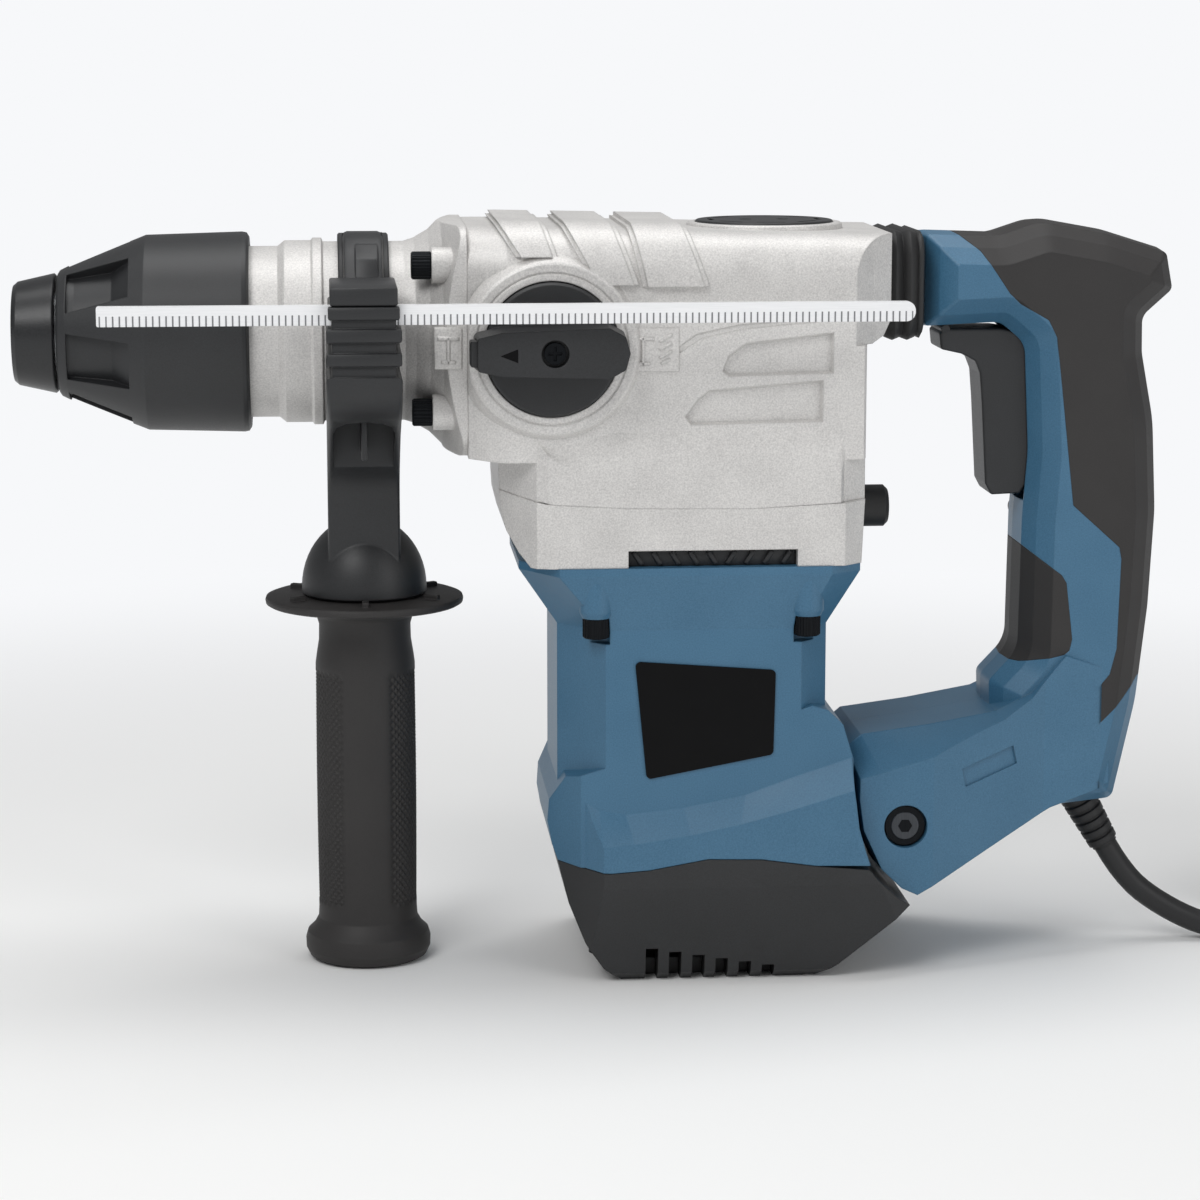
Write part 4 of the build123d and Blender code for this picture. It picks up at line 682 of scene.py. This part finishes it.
bracketSettings = {
    "middle": 107.0,
    "bandRadius": 30.35,
    "bandOuter": 31.6,
    "bandFrom": 99.6,
    "bandTo": 115.8,
    "lug": [(0, 30.6), (0, 32.2), (-14.0, 32.4), (-20.5, 30.6), (-27.5, 24.6), (-33.0, 17.0), (-30.0, 12.0),
            (-26.0, 15.6), (-18.0, 24.4), (-9.0, 29.4)],
    "holder": [
        # half width, front, bottom, top
        (10.3, -71.6, 13.9, 19.6), (10.9, -72.4, 9.7, 13.7), (9.8, -71.0, 6.6, 10.2),
        (11.5, -72.4, 2.8, 7.0), (9.8, -71.0, -0.8, 3.2), (11.5, -72.4, -4.4, -0.4),
        (9.8, -71.0, -8.4, -4.0),
    ],
    "yoke": [
        (-72.0, -7.8), (-71.6, -12.0), (-69.0, -16.4), (-60.0, -21.6), (-48.0, -25.4), (-36.0, -31.0),
        (-26.0, -38.0), (-18.6, -44.4), (-15.6, -48.6), (-14.6, -53.0), (-14.6, -76.0), (14.6, -76.0),
        (14.6, -53.0), (15.6, -48.6), (19.6, -41.0), (30.0, -27.0), (34.4, -16.0), (34.4, 3.0), (-31.0, 3.0),
        (-31.0, -7.8),
    ],
    "yokeHalfWidth": 11.6,
    "hood": [
        (-9.5, -42.6), (-9.7, -28.6), (-8.6, -26.0), (-5.6, -24.2), (0, -23.4), (5.6, -24.2),
        (8.6, -26.0), (9.7, -28.6), (9.5, -42.6),
    ],
    "hoodBack": -22.0,
    "domeRadius": 20.4,
    "domeHeight": 23.0,
    "domeBase": -83.6,
    "domeFoot": -85.8,
    "domeRounding": (0.8, 0.6),
    "domeSteps": 14,
    "edgeRounding": 1.3,
    "holderBack": -30.9,
    "holderRounding": 0.7,
    "hoodDepth": 58.0,
    "hoodRib": ((0.9, -46.0, -36.6), (-21.0, -22.0), 0.6),  # half width, front, foot; back, top; rounding
    "lugWidths": (5.8, 6.9),  # to the front and to the rear of the middle
    "lugRounding": 1.5,
    "panel": [(-21.6, 29.6), (-28.105, 25.1412), (-31.4, 19.4), (-26.0, 18.0)],
    "panelWidths": (2.0, 5.2),
    "panelRounding": 0.4,
    "bandChamfer": 0.5,
    "bandSteps": 96,
}


def endEdges(verts):
    # The edges of a prism's two ends, which lie square to X
    return [edge for edge in edgesOf(verts) if abs(edge.verts[0].co.x - edge.verts[1].co.x) < 0.1 * mm]


def makeYoke(settings):
    # The yoke, with the collar's bore and the openings under both hoods cut out
    middle = settings["middle"]
    halfWidth = settings["yokeHalfWidth"]
    yoke = bmesh.new()
    verts = prismAcross(yoke, settings["yoke"], middle - halfWidth, middle + halfWidth)
    roundEdges(yoke, endEdges(verts), settings["edgeRounding"], 3)
    bore = bmesh.new()
    radius = settings["bandRadius"] * mm
    bmesh.ops.create_cone(bore, cap_ends=True, segments=settings["bandSteps"], radius1=radius,
                          radius2=radius, depth=60 * mm)
    across = Matrix.Translation((middle * mm, 0, 0)) @ Matrix.Rotation(math.pi / 2, 4, "Y")
    bmesh.ops.transform(bore, matrix=across, verts=bore.verts)
    yoke = cutAway(yoke, bore)
    outline = [(middle + x, z) for x, z in settings["hood"]]
    for inner in (settings["hoodBack"], settings["hoodDepth"] - settings["hoodBack"]):
        opening = bmesh.new()
        extrudeOutline(opening, outline, settings["hoodDepth"], inner)
        yoke = cutAway(yoke, opening)
    return yoke


def makeDome(settings):
    radius = settings["domeRadius"]
    foot, base, height = settings["domeFoot"], settings["domeBase"], settings["domeHeight"]
    inset, rise = settings["domeRounding"]
    profile = [(0, foot), (radius - inset, foot), (radius, foot + rise)]
    for step in range(settings["domeSteps"]):
        angle = step / settings["domeSteps"] * math.pi / 2
        profile.append((radius * math.cos(angle), base + height * math.sin(angle)))
    profile.append((0, base + height))
    dome = spinProfile(profile, 72)
    bmesh.ops.translate(dome, vec=(settings["middle"] * mm, 0, 0), verts=dome.verts)
    return dome


def makeBracket(settings):
    middle = settings["middle"]
    body = makeYoke(settings)
    back = settings["holderBack"]
    for halfWidth, front, low, high in settings["holder"]:
        roundedBlock(body, (middle - halfWidth, front, low), (middle + halfWidth, back, high),
                     settings["holderRounding"])
    (halfWidth, front, foot), (back, top), rounding = settings["hoodRib"]
    roundedBlock(body, (middle - halfWidth, front, foot), (middle + halfWidth, back, top), rounding)
    ahead, behind = settings["lugWidths"]
    lug = prismAcross(body, settings["lug"], middle - ahead, middle + behind)
    roundEdges(body, endEdges(lug), settings["lugRounding"], 2)
    ahead, behind = settings["panelWidths"]
    panel = prismAcross(body, settings["panel"], middle - ahead, middle + behind)
    roundEdges(body, edgesOf(panel), settings["panelRounding"], 2)
    joinInto(body, ringAcross(settings["bandFrom"], settings["bandTo"], settings["bandRadius"],
                              settings["bandOuter"], settings["bandChamfer"], settings["bandSteps"]))
    joinInto(body, makeDome(settings))
    finishPiece("bracketBody", body, finishes["black_plastic"], "side_bracket",
                ["side_handle_bracket"], smoothAngle=40)
    print("bracket made")


makeBracket(bracketSettings)


# Cast plates beside the knob: a hammer on the front one, a hammer and a drill bit on the rear one

plateSettings = {
    "front": {
        "carrier": "front_housing", "low": (129.2, -8.8), "high": (138.0, 4.4),
        "bars": [
            # from, to and width of each raised bar
            ((130.9, 0.9), (136.5, 0.9), 1.1), ((133.7, 0.9), (133.7, -6.6), 1.0),
            ((132.0, -6.6), (135.4, -6.6), 1.0),
        ],
    },
    "rear": {
        "carrier": "gearbox_housing", "low": (189.4, -9.6), "high": (205.9, 4.2),
        "bars": [
            ((191.6, 0.9), (197.4, 0.9), 1.1), ((194.5, 0.9), (194.5, -7.0), 1.0),
            ((192.8, -7.0), (196.2, -7.0), 1.0), ((200.0, 0.2), (203.2, 2.0), 0.9),
            ((200.0, -2.4), (203.2, -0.6), 0.9), ((200.0, -5.0), (203.2, -3.2), 0.9),
            ((200.6, -6.8), (202.6, -5.8), 0.9),
        ],
    },
    "rise": 0.8,
    "barRise": 0.6,
    "root": 3.0,  # how far a plate reaches into the casing
}


def faceOf(node, low, high):
    # The height of a casing's face, towards -Y, round a rectangle of (x, z)
    shape = cadNodes[node]
    found = []
    for x in (low[0], (low[0] + high[0]) / 2, high[0]):
        for z in (low[1], (low[1] + high[1]) / 2, high[1]):
            start = shape.matrix_world.inverted() @ Vector((x * mm, -0.2, z * mm))
            hit = shape.ray_cast(start, Vector((0, 1, 0)))
            if hit[0]:
                found.append((shape.matrix_world @ hit[1]).y / mm)
    return sorted(found)[len(found) // 2]


def makePlate(name, settings, plate):
    low, high = plate["low"], plate["high"]
    rise, barRise = settings["rise"], settings["barRise"]
    face = faceOf(plate["carrier"], low, high)
    print(name, "lies at", round(face, 2))
    bm = bmesh.new()
    roundedBlock(bm, (low[0], face - rise, low[1]), (high[0], face + settings["root"], high[1]), 0.35)
    for (x0, z0), (x1, z1), width in plate["bars"]:
        span = math.hypot(x1 - x0, z1 - z0) + width
        verts = roundedBlock(bm, (-span / 2, -rise - barRise, -width / 2), (span / 2, 0.5, width / 2), 0.3)
        turn = Matrix.Rotation(-math.atan2(z1 - z0, x1 - x0), 4, "Y")
        place = Matrix.Translation(Vector(((x0 + x1) / 2, face, (z0 + z1) / 2)) * mm)
        bmesh.ops.transform(bm, matrix=place @ turn, verts=verts)
    finishPiece(name, bm, finishes["cast_alloy"], "housing")


makePlate("frontSymbolPlate", plateSettings, plateSettings["front"])
makePlate("rearSymbolPlate", plateSettings, plateSettings["rear"])


# Pointer on the knob: a small black triangle on the lever, painted shade for the dark inside of the
# pointer's recess

pointerSettings = {
    "corners": [(148.9, -2.6), (154.3, -0.5), (154.3, -4.7)],
    "rise": 0.12,
    "root": 0.5,
}


def makePointer(settings):
    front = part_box("mode_knob")[0].y / mm
    bm = bmesh.new()
    extrudeOutline(bm, settings["corners"], settings["root"] + settings["rise"], front + settings["root"])
    # The black triangle is painted shade where the pointer is a recess in the lever
    finishPiece("knobPointerShade", bm, finishes["gloss_label"], "knob")
    print("knob pointer made")


makePointer(pointerSettings)


# Exhaust slots: dark grilles of leaning vanes, one on each side

ventSettings = {
    "middle": (216.9, -69.1),
    "width": 53.4,
    "height": 5.4,
    "floor": 41.2,
    "front": 42.6,
    "vanes": 9,
    "vaneWidth": 1.5,
    "vaneGap": 0.3,
    "lean": 32,  # degrees
}


def makeVents(settings):
    x, z = settings["middle"]
    vaneHalf = settings["vaneWidth"] / 2
    vaneReach = settings["height"] / 2 - settings["vaneGap"]
    bm = bmesh.new()
    roundedBlock(bm, (x - settings["width"] / 2, -settings["floor"], z - settings["height"] / 2),
                 (x + settings["width"] / 2, 1 - settings["floor"], z + settings["height"] / 2), 0.2)
    for index in range(settings["vanes"]):
        shift = (index + 0.5) / settings["vanes"] - 0.5
        verts = roundedBlock(bm, (-vaneHalf, -settings["front"], -vaneReach),
                             (vaneHalf, 0.5 - settings["floor"], vaneReach), 0.3)
        lean = Matrix.Rotation(math.radians(settings["lean"] * (1 if shift > 0 else -1)), 4, "Y")
        place = Matrix.Translation(Vector((x + shift * settings["width"], 0, z)) * mm)
        bmesh.ops.transform(bm, matrix=place @ lean, verts=verts)
    far = bm.copy()
    bmesh.ops.transform(far, matrix=Matrix.Diagonal((1, -1, 1, 1)), verts=far.verts)
    joinInto(bm, far)
    finishPiece("exhaustGrilles", bm, finishes["black_plastic"], "housing")
    print("exhaust grilles made")


makeVents(ventSettings)


# Socket screw heads: knurled rims round the front and motor screws, hexagon sockets in the pivot bolts

headSettings = {
    "teeth": 26,
    "toothDepth": 0.3,
    "frontLength": (122.4, 128.7),
    "frontRadius": 4.4,
    "motorLength": (-94.9, -88.6),
    "motorRadius": 4.3,
    "pivotRadius": 5.0,
    "pivotHeight": 2.0,
    "pivotToothDepth": 0.15,
    "pivotProud": 0.2,
    "chamfer": (0.88, 0.5),  # share of the radius at the face, and how deep it runs
    "footShare": 0.96,
    "socketSides": 6,
    "socketRadius": 2.3,
    "socketDepth": 2.4,
}


def knurledHead(bm, place, turn, radius, length, settings):
    # A head along Z from 0 to length, socket at 0
    count = settings["teeth"] * 2
    faceShare, chamferDepth = settings["chamfer"]
    tooth = settings["toothDepth"]
    rings = []
    for height, share, depth in ((0, faceShare, 0), (chamferDepth, 1.0, tooth), (length - 0.3, 1.0, tooth),
                                 (length, settings["footShare"], tooth)):
        ring = []
        for index in range(count):
            angle = 2 * math.pi * index / count
            reach = (radius * share - depth * (index % 2)) * mm
            ring.append(bm.verts.new((reach * math.cos(angle), reach * math.sin(angle), height * mm)))
        rings.append(ring)
    rim = rings[0]
    for lower, upper in zip(rings[:-1], rings[1:]):
        for index in range(count):
            bm.faces.new((lower[index - 1], lower[index], upper[index], upper[index - 1]))
    bm.faces.new(rings[-1])
    sides = settings["socketSides"]
    socketRadius = settings["socketRadius"] * mm
    mouth = []
    well = []
    for index in range(sides):
        angle = 2 * math.pi * index / sides
        corner = (socketRadius * math.cos(angle), socketRadius * math.sin(angle))
        mouth.append(bm.verts.new((*corner, 0)))
        well.append(bm.verts.new((*corner, settings["socketDepth"] * mm)))
    rimEdges = [bm.edges.get((rim[index - 1], rim[index])) for index in range(count)]
    mouthEdges = [bm.edges.new((mouth[index - 1], mouth[index])) for index in range(sides)]
    bmesh.ops.triangle_fill(bm, use_beauty=True, edges=rimEdges + mouthEdges)
    for index in range(sides):
        bm.faces.new((mouth[index - 1], mouth[index], well[index], well[index - 1]))
    bm.faces.new(well)
    verts = [vert for ring in rings for vert in ring] + mouth + well
    bmesh.ops.transform(bm, matrix=Matrix.Translation(Vector(place) * mm) @ turn, verts=verts)


def headPlaces(node, axes):
    # Middles of a node's separate screws, seen along the third axis
    mesh = bmesh.new()
    mesh.from_mesh(cadNodes[node].data)
    bmesh.ops.remove_doubles(mesh, verts=mesh.verts, dist=mergeDistance)
    middles = []
    left = set(mesh.verts)
    while left:
        queue = [left.pop()]
        island = []
        while queue:
            vert = queue.pop()
            island.append(vert.co.copy())
            for edge in vert.link_edges:
                other = edge.other_vert(vert)
                if other in left:
                    left.remove(other)
                    queue.append(other)
        middle = []
        for axis in axes:
            reach = [co[axis] for co in island]
            middle.append(round((min(reach) + max(reach)) / 2 / mm, 2))
        middles.append(tuple(middle))
    mesh.free()
    return sorted(middles)


def makeHeads(settings):
    bm = bmesh.new()
    low, high = settings["frontLength"]
    along = Matrix.Rotation(math.pi / 2, 4, "Y")
    for y, z in headPlaces("front_screws", (1, 2)):
        knurledHead(bm, (low, y, z), along, settings["frontRadius"], high - low, settings)
    low, high = settings["motorLength"]
    for x, y in headPlaces("motor_screws", (0, 1)):
        knurledHead(bm, (x, y, low), Matrix(), settings["motorRadius"], high - low, settings)
    finishPiece("screwHeads", bm, finishes["black_steel"], "housing", smoothAngle=20)
    low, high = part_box("pivot_bolts")
    bolts = bmesh.new()
    middle = (low + high) / 2 / mm
    pivot = {**settings, "toothDepth": settings["pivotToothDepth"]}
    for side in (-1, 1):
        end = (low.y if side < 0 else high.y) / mm + side * settings["pivotProud"]
        turn = Matrix.Rotation(side * math.pi / 2, 4, "X")
        knurledHead(bolts, (middle.x, end, middle.z), turn, settings["pivotRadius"],
                    settings["pivotHeight"], pivot)
    finishPiece("pivotSockets", bolts, finishes["dark_steel"], "housing", smoothAngle=20)
    print("screw heads made")


makeHeads(headSettings)


# Bellows: three folds of soft rubber between the gearbox and the handle

bellowsSettings = {
    "middleHeight": 15.0,
    "folds": [(275.5, 19.4), (276.6, 20.6), (278.0, 21.4), (279.2, 20.8), (280.4, 18.6), (281.6, 20.8),
              (282.8, 21.4), (284.0, 20.8), (285.2, 18.6), (286.2, 20.2), (287.4, 20.8)],
    "heightShare": 0.76,
    "corner": 6.0,
    "cornerSteps": 6,
    "wall": 1.6,
}


def makeBellows(settings):
    bm = bmesh.new()
    corner = settings["corner"]
    steps = settings["cornerSteps"]
    loop = []
    for x, halfWidth in settings["folds"]:
        verts = []
        halfHeight = halfWidth * settings["heightShare"]
        for quarter, (sideY, sideZ) in enumerate(((1, 1), (-1, 1), (-1, -1), (1, -1))):
            for step in range(steps + 1):
                angle = (quarter + step / steps) * math.pi / 2
                y = sideY * (halfWidth - corner) + corner * math.cos(angle)
                z = settings["middleHeight"] + sideZ * (halfHeight - corner) + corner * math.sin(angle)
                verts.append(bm.verts.new((x * mm, y * mm, z * mm)))
        edges = [bm.edges.new((verts[index - 1], verts[index])) for index in range(len(verts))]
        if loop:
            bmesh.ops.bridge_loops(bm, edges=loop + edges)
        loop = edges
    piece = finishPiece("bellowsRubber", bm, finishes["soft_rubber"], None, ["bellows"])
    wall = piece.modifiers.new("wall", "SOLIDIFY")
    wall.thickness = settings["wall"] * mm
    wall.offset = -1
    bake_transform(piece)
    print("bellows made")


makeBellows(bellowsSettings)


# Studio

studioSettings = {
    "floorColour": "F4F4F3",
    "skyColour": "F7F8FA",
    "fadeFrom": 0.25,
    "fadeTo": 0.80,
    "seenStrength": 1.0,
    "skyStrength": 0.34,  # light that the pale room gives
    "areas": [
        # name, place, aim, width, height, watts
        ("keyLight", (-0.45, -1.0, 1.00), (0.15, 0, -0.05), 0.7, 0.7, 10),
        ("fillLight", (1.05, -0.9, 0.35), (0.2, 0, -0.05), 0.5, 0.9, 3),
        ("topLight", (0.15, 0.10, 1.1), (0.18, 0, 0), 1.2, 0.6, 8),
    ],
}


def makeStudio(settings):
    bpy.context.scene.view_settings.view_transform = "Standard"
    world = bpy.data.worlds.new("studio")
    world.use_nodes = True
    sky = world.node_tree.nodes["Background"]
    sky.inputs["Color"].default_value = toLinear(settings["skyColour"])
    ray = addNode(world.node_tree, "ShaderNodeLightPath")
    strength = addNode(world.node_tree, "ShaderNodeMapRange", inputs={
        "Value": ray.outputs["Is Camera Ray"], "To Min": settings["skyStrength"],
        "To Max": settings["seenStrength"]})
    world.node_tree.links.new(strength.outputs[0], sky.inputs["Strength"])
    bpy.context.scene.world = world
    for name, place, aim, width, height, watts in settings["areas"]:
        data = bpy.data.lights.new(name, "AREA")
        data.shape = "RECTANGLE"
        data.size = width
        data.size_y = height
        data.energy = watts
        lamp = bpy.data.objects.new(name, data)
        lamp.location = place
        lamp.rotation_euler = (Vector(aim) - Vector(place)).to_track_quat("-Z", "Y").to_euler()
        bpy.context.scene.collection.objects.link(lamp)
    bm = bmesh.new()
    bmesh.ops.create_grid(bm, x_segments=1, y_segments=1, size=12)
    bmesh.ops.translate(bm, vec=(0, 0, floorHeight), verts=bm.verts)
    mesh = bpy.data.meshes.new("floor")
    bm.to_mesh(mesh)
    bm.free()
    material, tree, shader = newMaterial("paleFloor")
    shader.inputs["Base Color"].default_value = toLinear(settings["floorColour"])
    shader.inputs["Roughness"].default_value = 0.7
    # Away from the tool the floor shines evenly like the room behind it
    place = addNode(tree, "ShaderNodeTexCoord").outputs["Object"]
    away = addNode(tree, "ShaderNodeVectorMath", {"operation": "DISTANCE"}, {
        0: place, 1: (0.19, 0, floorHeight)})
    share = addNode(tree, "ShaderNodeMapRange", {"interpolation_type": "SMOOTHSTEP"}, {
        "Value": away.outputs["Value"], "From Min": settings["fadeFrom"], "From Max": settings["fadeTo"]})
    glow = addNode(tree, "ShaderNodeEmission", inputs={"Color": toLinear(settings["skyColour"])})
    blend = addNode(tree, "ShaderNodeMixShader", inputs={
        0: share.outputs[0], 1: shader.outputs[0], 2: glow.outputs[0]})
    tree.links.new(blend.outputs[0], tree.nodes["Material Output"].inputs["Surface"])
    mesh.materials.append(material)
    floor = bpy.data.objects.new("floor", mesh)
    bpy.context.scene.collection.objects.link(floor)
    print("studio made")


makeStudio(studioSettings)
